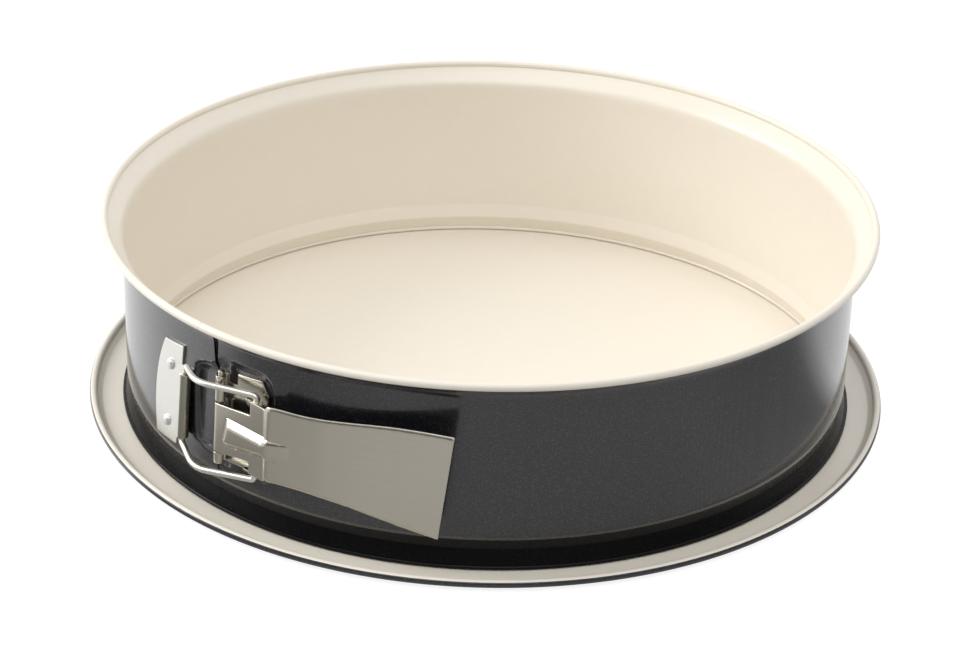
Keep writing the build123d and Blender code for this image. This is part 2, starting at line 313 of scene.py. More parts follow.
CREAM = Finish(
    "cream_ceramic_coating", srgb(238, 231, 218), srgb(235, 227, 213), 0.32, coat=0.25,
    grain_scale=260.0, bump=0.02,
)
BLACK = Finish(
    "black_nonstick_coating", srgb(20, 20, 24), srgb(15, 15, 19), 0.3, coat=1.0,
    grain_scale=700.0, bump=0.05, fleck_colour=srgb(92, 92, 100), fleck_scale=2500.0, fleck_cover=0.5,
)
# Darker, less glossy copy of the black coating: painted shade on the groove, the skirt and the seam's end
# caps.
FOOT_PAINTED_SHADE = Finish(
    "black_nonstick_foot_painted_shade", srgb(13, 13, 14), srgb(9, 9, 10), 0.24, coat=0.0,
    grain_scale=500.0, bump=0.12, fleck_colour=srgb(40, 40, 44), fleck_scale=3400.0, fleck_cover=0.15,
    specular=0.16,
)
NICKEL = Finish(
    "nickel_plated_steel", srgb(200, 194, 181), srgb(193, 187, 173), 0.2, metallic=1.0,
    grain_scale=90.0, grain_stretch=14.0, bump=0.012,
)
PALE_STEEL = Finish(
    "pale_catch_steel", srgb(232, 230, 224), srgb(226, 224, 218), 0.28, metallic=1.0,
    grain_scale=220.0, bump=0.004,
)
# Darker copy of the catch plate's steel on its curled tongue: painted shade.
TONGUE_PAINTED_SHADE = Finish(
    "catch_steel_painted_shade", srgb(176, 172, 158), srgb(166, 161, 147), 0.24, metallic=1.0,
    grain_scale=220.0, bump=0.004,
)
RIVET_METAL = Finish(
    "rivet_aluminium", srgb(232, 232, 230), srgb(222, 222, 220), 0.24, metallic=1.0,
    grain_scale=600.0, bump=0.02,
)
WIRE_STEEL = Finish(
    "bright_wire_steel", srgb(240, 237, 230), srgb(230, 227, 220), 0.3, metallic=1.0,
    grain_scale=800.0, bump=0.02,
)


def mesh_object(
    name: str,
    points: np.ndarray,
    faces: Sequence[Sequence[int]],
    finishes: Sequence[Finish],
    slots: Optional[Sequence[int]] = None,
    sharp_angle: float = 35.0,
) -> bpy.types.Object:
    """Make a smooth mesh object at the origin.

    Args:
        name: the object's name.
        points: its vertices in millimetres.
        faces: vertex numbers of each face.
        finishes: the finishes for its material slots.
        slots: the slot of each face, or None where there is one.
        sharp_angle: the angle in degrees past which an edge stays sharp.

    Returns:
        The new object.
    """
    mesh = bpy.data.meshes.new(name)
    mesh.from_pydata((np.asarray(points) * MM).tolist(), [], [list(face) for face in faces])
    for finish in finishes:
        mesh.materials.append(finish.material())
    if slots is not None:
        mesh.polygons.foreach_set("material_index", list(slots))
    mesh.polygons.foreach_set("use_smooth", [True] * len(mesh.polygons))
    mesh.validate()
    mesh.update()
    mesh.set_sharp_from_angle(angle=math.radians(sharp_angle))
    made = bpy.data.objects.new(name, mesh)
    bpy.context.scene.collection.objects.link(made)
    return face_outwards(made)


def bake(piece: bpy.types.Object) -> bpy.types.Object:
    """Turn a piece's modifiers into plain mesh.

    Args:
        piece: the object with live modifiers.

    Returns:
        The same object, with its evaluated mesh.
    """
    bpy.context.view_layer.update()
    seen = piece.evaluated_get(bpy.context.evaluated_depsgraph_get())
    mesh = bpy.data.meshes.new_from_object(seen)
    piece.modifiers.clear()
    piece.data = mesh
    return piece


def rounded_path(corners: Sequence[Point2], radii: Sequence[float], step: float) -> np.ndarray:
    """Polyline with its inner corners turned into arcs.

    Args:
        corners: the corners of the path.
        radii: the radius at each inner corner.
        step: the largest distance between two points.

    Returns:
        The points of the path.
    """
    corners = [np.array(corner, float) for corner in corners]
    path = [corners[0]]
    for before, corner, after, radius in zip(corners, corners[1:], corners[2:], radii):
        inward = (before - corner) / np.linalg.norm(before - corner)
        onward = (after - corner) / np.linalg.norm(after - corner)
        half = math.acos(max(-1.0, min(1.0, float(inward @ onward)))) / 2
        reach = radius / math.tan(half)
        start, end = corner + inward * reach, corner + onward * reach
        centre = corner + (inward + onward) / np.linalg.norm(inward + onward) * radius / math.sin(half)
        first, last = start - centre, end - centre
        sweep = math.pi - 2 * half
        count = max(3, math.ceil(sweep * radius / step))
        for place in range(count + 1):
            share = place / count
            arm = first * math.sin((1 - share) * sweep) + last * math.sin(share * sweep)
            path.append(centre + arm / math.sin(sweep))
    path.append(corners[-1])
    filled = [path[0]]
    for point in path[1:]:
        gap = np.linalg.norm(point - filled[-1])
        if gap < TINY:
            continue
        count = max(1, math.ceil(gap / step))
        start = filled[-1]
        filled += [start + (point - start) * place / count for place in range(1, count + 1)]
    return np.array(filled)


def path_normals(path: np.ndarray) -> np.ndarray:
    """Unit normals on the left of a path.

    Args:
        path: the points of the path.

    Returns:
        One normal for each point.
    """
    along = np.gradient(path, axis=0)
    along /= np.linalg.norm(along, axis=1)[:, None]
    return np.stack([-along[:, 1], along[:, 0]], axis=1)


@dataclass
class SheetSection:
    """Closed section of a bent sheet with a rolled bead at its end, and maybe one at its start."""

    path: np.ndarray
    thickness: float
    end_bead: float
    start_bead: float = 0.0
    bead_steps: int = 22
    bead_clear: float = 1.05

    def _bead(self, centre: np.ndarray, heading: float, radius: float) -> np.ndarray:
        """Points round a bead, from the left of a heading over its front to its right.

        Args:
            centre: the bead's centre.
            heading: the heading in radians.
            radius: the bead's radius.

        Returns:
            The points.
        """
        neck = math.asin(self.thickness / 2 / radius)
        angles = np.linspace(heading + math.pi - neck, heading - math.pi + neck, self.bead_steps)
        return centre + radius * np.stack([np.cos(angles), np.sin(angles)], axis=1)

    def loop(self) -> tuple[np.ndarray, np.ndarray]:
        """Work out the loop: left side, end bead, right side, start bead.

        Returns:
            The loop's points, and the number of points in each of the four parts.
        """
        normals = path_normals(self.path)
        half = self.thickness / 2
        keep = np.linalg.norm(self.path - self.path[-1], axis=1) > self.end_bead * self.bead_clear
        if self.start_bead:
            keep &= np.linalg.norm(self.path - self.path[0], axis=1) > self.start_bead * self.bead_clear
        left = (self.path + normals * half)[keep]
        right = (self.path - normals * half)[keep][::-1]
        onward = self.path[-1] - self.path[-2]
        parts = [left, self._bead(self.path[-1], math.atan2(onward[1], onward[0]), self.end_bead), right]
        if self.start_bead:
            back = self.path[0] - self.path[1]
            parts.append(self._bead(self.path[0], math.atan2(back[1], back[0]), self.start_bead))
        return np.concatenate(parts), np.array([len(part) for part in parts])


class TurnedNodes:
    """Geometry nodes that turn a section round the tin's axis."""

    NAME = "turned_section"
    ROW = "section_row"
    INPUTS = {
        "Section": "Geometry", "Rows": "Int", "Turns": "Int", "Upper Rows": "Float",
        "Upper Finish": "Material", "Under Finish": "Material",
    }

    @classmethod
    def tree(cls) -> bpy.types.NodeTree:
        """Build the node group.

        Returns:
            The group, with named inputs for the section, the counts and the finishes.
        """
        tree, sheet, given, out = new_group(cls.NAME, "Geometry", cls.INPUTS, {"Geometry": "Geometry"})
        columns = sheet.math("ADD", given["Turns"], 1.0)
        grid = sheet.add("GeometryNodeMeshGrid", {"Vertices X": columns, "Vertices Y": given["Rows"]})
        index = sheet.add("GeometryNodeInputIndex").outputs[0]
        row = sheet.math("MODULO", index, given["Rows"])
        column = sheet.math("FLOOR", sheet.math("DIVIDE", index, given["Rows"]))
        kept = {"Geometry": grid.outputs[0], "Name": cls.ROW, "Value": row}
        keep = sheet.add("GeometryNodeStoreNamedAttribute", kept, data_type="FLOAT", domain="POINT")
        spot = sheet.add("GeometryNodeInputPosition").outputs[0]
        picked = {"Geometry": given["Section"], "Value": spot, "Index": row}
        pick = sheet.add("GeometryNodeSampleIndex", picked, data_type="FLOAT_VECTOR", domain="POINT")
        turn = sheet.math("MULTIPLY", column, sheet.math("DIVIDE", 2 * math.pi, given["Turns"]))
        turned = {"Vector": pick.outputs[0], "Angle": turn}
        spin = sheet.add("ShaderNodeVectorRotate", turned, rotation_type="Z_AXIS")
        placed = {"Geometry": keep.outputs[0], "Position": spin.outputs[0]}
        place = sheet.add("GeometryNodeSetPosition", placed)
        welded = {"Geometry": place.outputs[0], "Distance": WELD_REACH * MM}
        weld = sheet.add("GeometryNodeMergeByDistance", welded)
        smooth = sheet.add("GeometryNodeSetShadeSmooth", {0: weld.outputs[0]})
        real = sheet.add("GeometryNodeRealizeInstances", {0: smooth.outputs[0]})
        painted = {"Geometry": real.outputs[0], "Material": given["Upper Finish"]}
        upper = sheet.add("GeometryNodeSetMaterial", painted)
        where = sheet.add("GeometryNodeInputNamedAttribute", {"Name": cls.ROW}, data_type="FLOAT")
        below = sheet.math("GREATER_THAN", where.outputs[0], given["Upper Rows"])
        painted = {"Geometry": upper.outputs[0], "Selection": below, "Material": given["Under Finish"]}
        sheet.fill(out["Geometry"], sheet.add("GeometryNodeSetMaterial", painted).outputs[0])
        return tree


def live_nodes(piece: bpy.types.Object, tree: bpy.types.NodeTree, values: Inputs) -> bpy.types.Object:
    """Run a geometry node group on a piece and keep its result as plain mesh.

    Args:
        piece: the object that the group runs on.
        tree: the node group.
        values: the value of each named input.

    Returns:
        The piece.
    """
    live = piece.modifiers.new(tree.name, "NODES")
    live.node_group = tree
    for socket in tree.interface.items_tree:
        if socket.item_type == "SOCKET" and socket.in_out == "INPUT" and socket.name in values:
            live[socket.identifier] = values[socket.name]
    return face_outwards(bake(piece))


def face_outwards(piece: bpy.types.Object) -> bpy.types.Object:
    """Turn a closed piece's normals outwards.

    Args:
        piece: the object.

    Returns:
        The same object.
    """
    mesh = piece.data
    mesh.calc_loop_triangles()
    corners = np.zeros(len(mesh.loop_triangles) * 3, np.int64)
    mesh.loop_triangles.foreach_get("vertices", corners)
    spots = np.zeros(len(mesh.vertices) * 3)
    mesh.vertices.foreach_get("co", spots)
    first, second, third = spots.reshape(-1, 3)[corners.reshape(-1, 3)].transpose(1, 0, 2)
    if np.einsum("ij,ij->i", first, np.cross(second, third)).sum() < 0:
        mesh.flip_normals()
    return piece


@dataclass
class Base:
    """The wide flat serving base, pressed from one sheet."""

    radius: float = 144.3
    sheet: float = 0.8
    lip_width: float = 4.5
    lip_top: float = 4.2
    bead_radius: float = 1.4
    tray_corner: float = 1.6
    cream_share: float = 0.46
    turns: int = 360
    path_step: float = 5.0
    sharp_angle: float = 50.0

    def build(self) -> bpy.types.Object:
        """Turn the section round the axis.

        Returns:
            The base, riding on its body.
        """
        half = self.sheet / 2
        corners = [
            (0.0, half),
            (self.radius - self.lip_width, half),
            (self.radius - self.bead_radius, self.lip_top - self.bead_radius),
        ]
        path = rounded_path(corners, [self.tray_corner], self.path_step)
        loop, counts = SheetSection(path, self.sheet, self.bead_radius).loop()
        mesh = bpy.data.meshes.new("serving_base")
        mesh.from_pydata([(radius * MM, 0.0, height * MM) for radius, height in loop], [], [])
        piece = bpy.data.objects.new("serving_base", mesh)
        bpy.context.scene.collection.objects.link(piece)
        values = {
            "Rows": len(loop),
            "Turns": self.turns,
            "Upper Rows": float(counts[0] + round(counts[1] * self.cream_share)),
            "Upper Finish": CREAM.material(),
            "Under Finish": BLACK.material(),
        }
        live_nodes(piece, TurnedNodes.tree(), values)
        piece.data.set_sharp_from_angle(angle=math.radians(self.sharp_angle))
        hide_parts("base_plate")
        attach(piece, Body.BASE.value)
        return piece


@dataclass
class Band:
    """The open band with its flared rim, rolled edges, groove and foot."""

    inner_radius: float = BAND_INNER
    sheet: float = BAND_SHEET
    top: float = 72.6
    rim_reach: float = 7.7
    rim_bead: float = 1.4
    rim_rise: float = 7.4
    rim_bend: float = 4.5
    foot_height: float = 0.9
    wall_foot_rise: float = 11.8
    wall_foot_bend: float = 1.5
    groove_depth: float = 1.2
    groove_rise: float = 6.7
    groove_bend: float = 1.0
    skirt_reach: float = 1.8
    foot_bead: float = 0.8
    rim_cream: float = 0.72
    foot_cream: float = 0.55
    foot_shade_drop: float = 1.0
    bead_gap: float = 0.06
    foot_seam: float = 0.2
    seam_gap: float = 0.7
    notch_width: float = 3.1
    notch_fall: float = 18.6
    pocket_depth: float = 1.0
    pocket_left: float = 12.0
    pocket_right: float = 25.5
    pocket_corner: float = 7.0
    pocket_slope: float = 1.6
    pocket_left_span: Point2 = (21.0, 53.0)
    pocket_right_span: Point2 = (17.0, 59.0)
    pocket_turn: float = 1.5
    path_step: float = 1.2
    fine_reach: float = 34.0
    fine_step: float = 0.55
    coarse_count: int = 260
    bend_start: Point2 = (-6.0, BAND_INNER)
    bend_end: Point2 = (-BAND_INNER, BAND_INNER / 6)
    tongue_reach: float = 8.0
    tongue_root: float = 10.0
    tongue_fall: float = 6.3
    tab_height: float = 6.3
    tab_sides: Point2 = (-5.2, 2.4)
    tongue_gap: float = 0.1
    tongue_corner: float = 0.8

    @property
    def outer_radius(self) -> float:
        """Outer radius of the wall."""
        return self.inner_radius + self.sheet

    def section(self) -> tuple[np.ndarray, np.ndarray]:
        """Section of the band from its foot to its rolled rim.

        Returns:
            The loop's points, and the number of points in each of its four parts.
        """
        wall = self.inner_radius + self.sheet / 2
        rim = self.outer_radius + self.rim_reach - self.rim_bead
        corners = [
            (self.outer_radius + self.skirt_reach - self.foot_bead, self.foot_height + self.foot_bead),
            (wall - self.groove_depth, self.foot_height + self.groove_rise),
            (wall, self.foot_height + self.wall_foot_rise),
            (wall, self.top - self.rim_rise),
            (rim, self.top - self.rim_bead),
        ]
        bends = [self.groove_bend, self.wall_foot_bend, self.rim_bend]
        path = rounded_path(corners, bends, self.path_step)
        return SheetSection(path, self.sheet, self.rim_bead, self.foot_bead).loop()

    def half_notch(self, height: float) -> float:
        """Half the width of the notch that opens the seam towards the rim.

        Args:
            height: height above the table in millimetres.

        Returns:
            Half the width in millimetres.
        """
        if height < self.foot_height + self.wall_foot_rise:
            return self.foot_seam / 2
        notch_top = self.top - 2 * self.rim_bead
        above = max(0.0, min(1.0, (height - notch_top + self.notch_fall) / self.notch_fall))
        return (self.seam_gap + (self.notch_width - self.seam_gap) * above) / 2

    def pocket(self, arc: float, height: float) -> float:
        """Depth of the pressed pocket at a place of the wall.

        Args:
            arc: distance from the seam along the outside.
            height: height above the ground.

        Returns:
            How far the wall is pressed inwards.
        """
        turn = 1 / (1 + math.exp(-arc / self.pocket_turn))
        spans = zip(self.pocket_left_span, self.pocket_right_span)
        low, high = (left + (right - left) * turn for left, right in spans)
        middle = (self.pocket_right - self.pocket_left) / 2
        half_width = (self.pocket_right + self.pocket_left) / 2 - self.pocket_corner
        half_height = (high - low) / 2 - self.pocket_corner
        across = max(0.0, abs(arc - middle) - half_width)
        upright = max(0.0, abs(height - (low + high) / 2) - half_height)
        inside = self.pocket_corner - math.hypot(across, upright)
        return self.pocket_depth * smooth_step(inside / self.pocket_slope)

    def arcs(self, side: Side) -> np.ndarray:
        """Arcs from the seam to the back, close together near the latch.

        Args:
            side: the band's half.

        Returns:
            The arcs in millimetres.
        """
        fine = np.arange(0.0, self.fine_reach, self.fine_step)
        coarse = np.linspace(self.fine_reach, math.pi * self.outer_radius, self.coarse_count)
        return side.value * np.concatenate([fine, coarse])

    def build_half(self, side: Side) -> bpy.types.Object:
        """Build one half of the band.

        Args:
            side: which half.

        Returns:
            The half: the right one rides on its body and the left one keeps its place in the world.
        """
        loop, counts = self.section()
        left_end, bead_end, right_end, total = np.cumsum(counts)
        whole = math.pi * self.outer_radius
        rows = np.arange(total)
        on_sheet = (rows < left_end) | ((rows >= bead_end) & (rows < right_end))
        wall_foot = self.foot_height + self.wall_foot_rise
        on_wall = on_sheet & (loop[:, 1] > wall_foot) & (loop[:, 1] < self.top - self.rim_rise)
        inside = rows < left_end + (bead_end - left_end) * self.rim_cream
        cream = inside | (rows >= right_end + (total - right_end) * self.foot_cream)
        arcs = self.arcs(side)
        points = []
        for arc in arcs:
            for row in range(total):
                radius, height = loop[row]
                gap = self.half_notch(height) if on_sheet[row] else self.bead_gap / 2
                place = side.value * gap + arc * (whole - gap) / whole
                depth = self.pocket(place, height) if on_wall[row] and abs(place) < self.fine_reach else 0.0
                angle = place / self.outer_radius
                reach = radius - depth
                points.append((reach * math.sin(angle), -reach * math.cos(angle), height))
        faces, slots = [], []
        for column in range(len(arcs) - 1):
            for row in range(total):
                after = (row + 1) % total
                low, high = column * total, (column + 1) * total
                faces.append([low + row, high + row, high + after, low + after])
                # Outside rows below the wall's foot bend take the darker finish of painted shade.
                slots.append(0 if cream[row] else 2 if loop[row, 1] < wall_foot - self.foot_shade_drop else 1)
        last = (len(arcs) - 1) * total
        faces += [list(range(total)), [last + row for row in range(total)][::-1]]
        # The end caps at the seam take the same painted shade.
        slots += [2, 2]
        name = "band_right" if side is Side.RIGHT else "band_left"
        piece = mesh_object(name, np.array(points), faces, [CREAM, BLACK, FOOT_PAINTED_SHADE], slots)
        if side is Side.RIGHT:
            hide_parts("ring_band_right")
            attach(piece, Body.RING.value)
        else:
            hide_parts("ring_band_left")
            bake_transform(piece)
        return piece

    def build_tongue(self) -> bpy.types.Object:
        """Build the strip of the left half that lies behind the seam.

        Returns:
            The strip.
        """
        middle = self.outer_radius - self.pocket_depth - self.sheet - self.tongue_gap - self.sheet / 2
        low, high = self.foot_height + self.wall_foot_rise + self.tongue_gap, self.top - self.tongue_fall
        shoulder, (tab_left, tab_right) = high - self.tab_height, self.tab_sides
        corners = [(-self.tongue_root, low), (self.tongue_reach, low), (self.tongue_reach, shoulder)]
        corners += [(tab_right, shoulder), (tab_right, high), (tab_left, high), (tab_left, shoulder)]
        corners.append((-self.tongue_root, shoulder))

        def place(x: float, y: float) -> Vector:
            """Place of a point of the strip, by its arc and height.

            Args:
                x: arc from the seam in millimetres.
                y: height above the table in millimetres.

            Returns:
                The point in the world.
            """
            angle = x / self.outer_radius
            return Vector((middle * math.sin(angle), -middle * math.cos(angle), y))

        outline = soften(corners, [self.tongue_corner] * len(corners))
        looks = {"spacing": 2.0, "edge_round": 0.12, "back_finish": CREAM}
        piece = FormedSheet("seam_tongue", outline, self.sheet, place, BLACK, **looks).build()
        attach(piece, Body.RING_END.value)
        return piece


@dataclass(frozen=True)
class Face:
    """A plane beside the band: x to the right, y up, z outwards."""

    origin: Vector
    right: Vector
    up: Vector
    out: Vector

    @staticmethod
    def on_band(arc: float, radius: float, height: float, lean: float) -> "Face":
        """Face at an arc from the seam.

        Args:
            arc: distance from the seam along the band's outside.
            radius: distance of the origin from the tin's axis.
            height: height of the origin.
            lean: clockwise turn in degrees, seen from outside.

        Returns:
            The face.
        """
        angle, tilt = arc / BAND_OUTER, math.radians(lean)
        across = Vector((math.cos(angle), math.sin(angle), 0.0))
        out = Vector((math.sin(angle), -math.cos(angle), 0.0))
        top = Vector((0.0, 0.0, 1.0))
        right = across * math.cos(tilt) - top * math.sin(tilt)
        return Face(out * radius + top * height, right, out.cross(right), out)

    def point(self, x: float, y: float, z: float) -> Vector:
        """World point of local coordinates, in millimetres."""
        return self.origin + self.right * x + self.up * y + self.out * z

    def local(self, point: Vector) -> Vector:
        """Local coordinates of a world point."""
        arm = point - self.origin
        return Vector((arm.dot(self.right), arm.dot(self.up), arm.dot(self.out)))


@dataclass
class FormedSheet:
    """A flat blank with an outline that is bent, pressed and given its thickness."""

    name: str
    outline: Sequence[Point2]
    thickness: float
    place: Callable[[float, float], Vector]
    finish: Finish
    spacing: float = 1.0
    edge_round: float = 0.18
    holes: Sequence[tuple[Point2, float]] = ()
    guides: Sequence[Point2] = ()
    guide_clear: float = 0.55
    back_finish: Optional[Finish] = None
    edge_clear: float = 0.45
    hole_clear: float = 1.15
    hole_keep: float = 0.97
    reach: float = 1e-5
    probe: float = 0.05

    def _inside(self, x: float, y: float, margin: float) -> bool:
        """Whether a point lies in the outline and off its edge.

        Args:
            x: distance across the blank in millimetres.
            y: height on the blank in millimetres.
            margin: the least distance from the edge.

        Returns:
            True where the point is kept.
        """
        found = False
        corners = self.outline
        for (x1, y1), (x2, y2) in zip(corners, list(corners[1:]) + [corners[0]]):
            if (y1 > y) != (y2 > y) and x < (x2 - x1) * (y - y1) / (y2 - y1) + x1:
                found = not found
            length = math.hypot(x2 - x1, y2 - y1)
            share = max(0.0, min(1.0, ((x - x1) * (x2 - x1) + (y - y1) * (y2 - y1)) / length**2))
            if math.hypot(x - x1 - share * (x2 - x1), y - y1 - share * (y2 - y1)) < margin:
                return False
        return found

    def _edge_points(self) -> list[Point2]:
        """Points along the outline, no further apart than the spacing.

        Returns:
            The points in order.
        """
        points = []
        for (x1, y1), (x2, y2) in zip(self.outline, list(self.outline[1:]) + [self.outline[0]]):
            count = max(1, math.ceil(math.hypot(x2 - x1, y2 - y1) / self.spacing))
            points += [(x1 + (x2 - x1) * i / count, y1 + (y2 - y1) * i / count) for i in range(count)]
        return points

    def _normal(self, x: float, y: float) -> Vector:
        """Outward normal of the formed sheet.

        Args:
            x: distance across the blank in millimetres.
            y: height on the blank in millimetres.

        Returns:
            The unit normal.
        """
        along = self.place(x + self.probe, y) - self.place(x - self.probe, y)
        up = self.place(x, y + self.probe) - self.place(x, y - self.probe)
        return along.cross(up).normalized()

    def _inner_rim(self, rim: Sequence[Point2]) -> tuple[np.ndarray, np.ndarray]:
        """Outline moved inwards by the edge rounding.

        Args:
            rim: points along the outline.

        Returns:
            The moved points and the inward direction at each.
        """
        spots = np.array(rim)
        after = np.roll(spots, -1, axis=0) - spots
        after /= np.linalg.norm(after, axis=1)[:, None]
        heading = after + np.roll(after, 1, axis=0)
        heading /= np.linalg.norm(heading, axis=1)[:, None]
        x, y = spots.T
        area = float(np.sum(x * np.roll(y, -1) - y * np.roll(x, -1)))
        inward = np.stack([-heading[:, 1], heading[:, 0]], axis=1) * math.copysign(1.0, area)
        return spots + inward * self.edge_round, inward

    def build(self) -> bpy.types.Object:
        """Triangulate the blank, form it, thicken it and round its edge.

        Returns:
            The finished sheet.
        """
        rim = self._edge_points()
        inner, inward = self._inner_rim(rim)
        low, high = inner.min(axis=0), inner.max(axis=0)
        margin = self.spacing * self.edge_clear + self.edge_round
        spots = [
            (float(x), float(y))
            for x in np.arange(low[0], high[0], self.spacing)
            for y in np.arange(low[1], high[1], self.spacing)
            if self._inside(x, y, margin)
        ]
        edges = [(i, (i + 1) % len(rim)) for i in range(len(rim))]
        every = [tuple(spot) for spot in inner]
        for centre, radius in self.holes:
            ring = arc_points(centre, radius, *HOLE_ARC)
            edges += [(len(every) + i, len(every) + (i + 1) % len(ring)) for i in range(len(ring))]
            every += ring
            spots = [spot for spot in spots if math.dist(spot, centre) > radius * self.hole_clear]
        if self.guides:
            lines = np.array(self.guides)
            clear = self.spacing * self.guide_clear
            spots = [spot for spot in spots if np.hypot(*(lines - spot).T).min() > clear]
            spots += list(self.guides)
        every = [Vector(point) for point in every + spots]
        cut = delaunay_2d_cdt(every, edges, [list(range(len(rim)))], 1, self.reach)
        flat, _, faces, sources, _, _ = cut
        for centre, radius in self.holes:
            middles = [sum((flat[i] for i in face), Vector((0.0, 0.0))) / len(face) for face in faces]
            away = [(middle - Vector(centre)).length for middle in middles]
            faces = [face for face, gap in zip(faces, away) if gap > radius * self.hole_keep]
        half, count = self.thickness / 2, len(flat)
        normals = [self._normal(*spot) for spot in flat]
        points = [self.place(*spot) + normal * half for spot, normal in zip(flat, normals)]
        points += [self.place(*spot) - normal * half for spot, normal in zip(flat, normals)]
        skin = [list(face) for face in faces]
        every_face = skin + [[index + count for index in face[::-1]] for face in skin]
        used = {(start, end) for face in skin for start, end in zip(face, face[1:] + face[:1])}
        found = {source: place for place, group in enumerate(sources) for source in group}
        ring = [found[place] for place in range(len(rim))]
        levels = [ring]
        for turn in EDGE_TURNS:
            reach = self.edge_round * math.cos(math.radians(turn))
            rise = (half - self.edge_round) * (1 if len(levels) <= len(EDGE_TURNS) / 2 else -1)
            rise += self.edge_round * math.sin(math.radians(turn))
            levels.append(list(range(len(points), len(points) + len(rim))))
            for (x, y), (side_x, side_y), index in zip(inner, inward, ring):
                points.append(self.place(x - side_x * reach, y - side_y * reach) + normals[index] * rise)
        levels.append([index + count for index in ring])
        forward = (ring[0], ring[1]) in used
        for upper, lower in zip(levels, levels[1:]):
            for place in range(len(rim)):
                after = (place + 1) % len(rim)
                face = [upper[after], upper[place], lower[place], lower[after]]
                every_face.append(face if forward else face[::-1])
        edge_of_rim = {frozenset((ring[place], ring[place - 1])) for place in range(len(rim))}
        for start, end in sorted(used):
            if (end, start) not in used and frozenset((start, end)) not in edge_of_rim:
                every_face.append([end, start, start + count, end + count])
        finishes = [self.finish, self.back_finish] if self.back_finish else [self.finish]
        back = range(len(skin), 2 * len(skin))
        slots = [1 if self.back_finish and place in back else 0 for place in range(len(every_face))]
        return mesh_object(self.name, np.array(points), every_face, finishes, slots)


def smooth_step(value: float) -> float:
    """Smooth rise from 0 to 1."""
    share = max(0.0, min(1.0, value))
    return share * share * (3 - 2 * share)


def arc_points(centre: Point2, radius: float, start: float, end: float, count: int) -> list[Point2]:
    """Points of an arc, with its angles in degrees."""
    angles = np.radians(np.linspace(start, end, count))
    return [(centre[0] + radius * math.cos(a), centre[1] + radius * math.sin(a)) for a in angles]


def smooth_curve(points: Sequence[Point2], steps: int) -> list[Point2]:
    """Smooth line through points.

    Args:
        points: the points to pass through.
        steps: the number of pieces between two of them.

    Returns:
        The points of the line.
    """
    spots = np.array([2 * np.array(points[0]) - points[1], *points, 2 * np.array(points[-1]) - points[-2]])
    result = []
    for before, start, end, after in zip(spots, spots[1:], spots[2:], spots[3:]):
        for place in range(steps):
            share = place / steps
            bend = 2 * start + (end - before) * share + (2 * before - 5 * start + 4 * end - after) * share**2
            result.append(tuple((bend + (3 * start - before - 3 * end + after) * share**3) / 2))
    return result + [tuple(spots[-2])]


def soften(corners: Sequence[Point2], radii: Sequence[float]) -> list[Point2]:
    """Closed outline with its corners rounded.

    Args:
        corners: the corners in order.
        radii: the radius at each corner, 0 for a sharp one.

    Returns:
        The outline's points.
    """
    result = []
    count = len(corners)
    for place, radius in enumerate(radii):
        before, corner, after = corners[place - 1], corners[place], corners[(place + 1) % count]
        if radius <= 0:
            result.append(corner)
            continue
        rounded = rounded_path([before, corner, after], [radius], 1000.0)
        result += [tuple(point) for point in rounded[1:-1]]
    return result


@dataclass
class Latch:
    """Places of the latch, with the origin on the hinge pin."""

    arc: float = 3.3
    radius: float = 132.4
    height: float = 37.0
    lean: float = 3.5
    knuckle_middle: float = 1.6
    sheet: float = 0.8

    @property
    def face(self) -> Face:
        """The latch's own plane: x along the lever, y up the pin, z outwards."""
        return Face.on_band(self.arc, self.radius, self.height, self.lean)

    def on_ring(self, arc: float, radius: float, height: Optional[float] = None) -> Vector:
        """Latch coordinates of a point beside the band.

        Args:
            arc: arc from the seam in millimetres.
            radius: distance from the tin's axis.
            height: height above the table, or none for the latch's own.

        Returns:
            The point.
        """
        angle = arc / BAND_OUTER
        level = self.height if height is None else height
        return self.face.local(Vector((radius * math.sin(angle), -radius * math.cos(angle), level)))

    def on_shell(self, x: float, y: float, radius: float) -> Vector:
        """World point on a cylinder round the tin, below a point of the latch's plane.

        Args:
            x: distance across the latch's plane.
            y: height on the latch's plane.
            radius: the cylinder's radius.

        Returns:
            The point.
        """
        point = self.face.point(x, y, 0.0)
        scale = radius / math.hypot(point.x, point.y)
        return Vector((point.x * scale, point.y * scale, point.z))


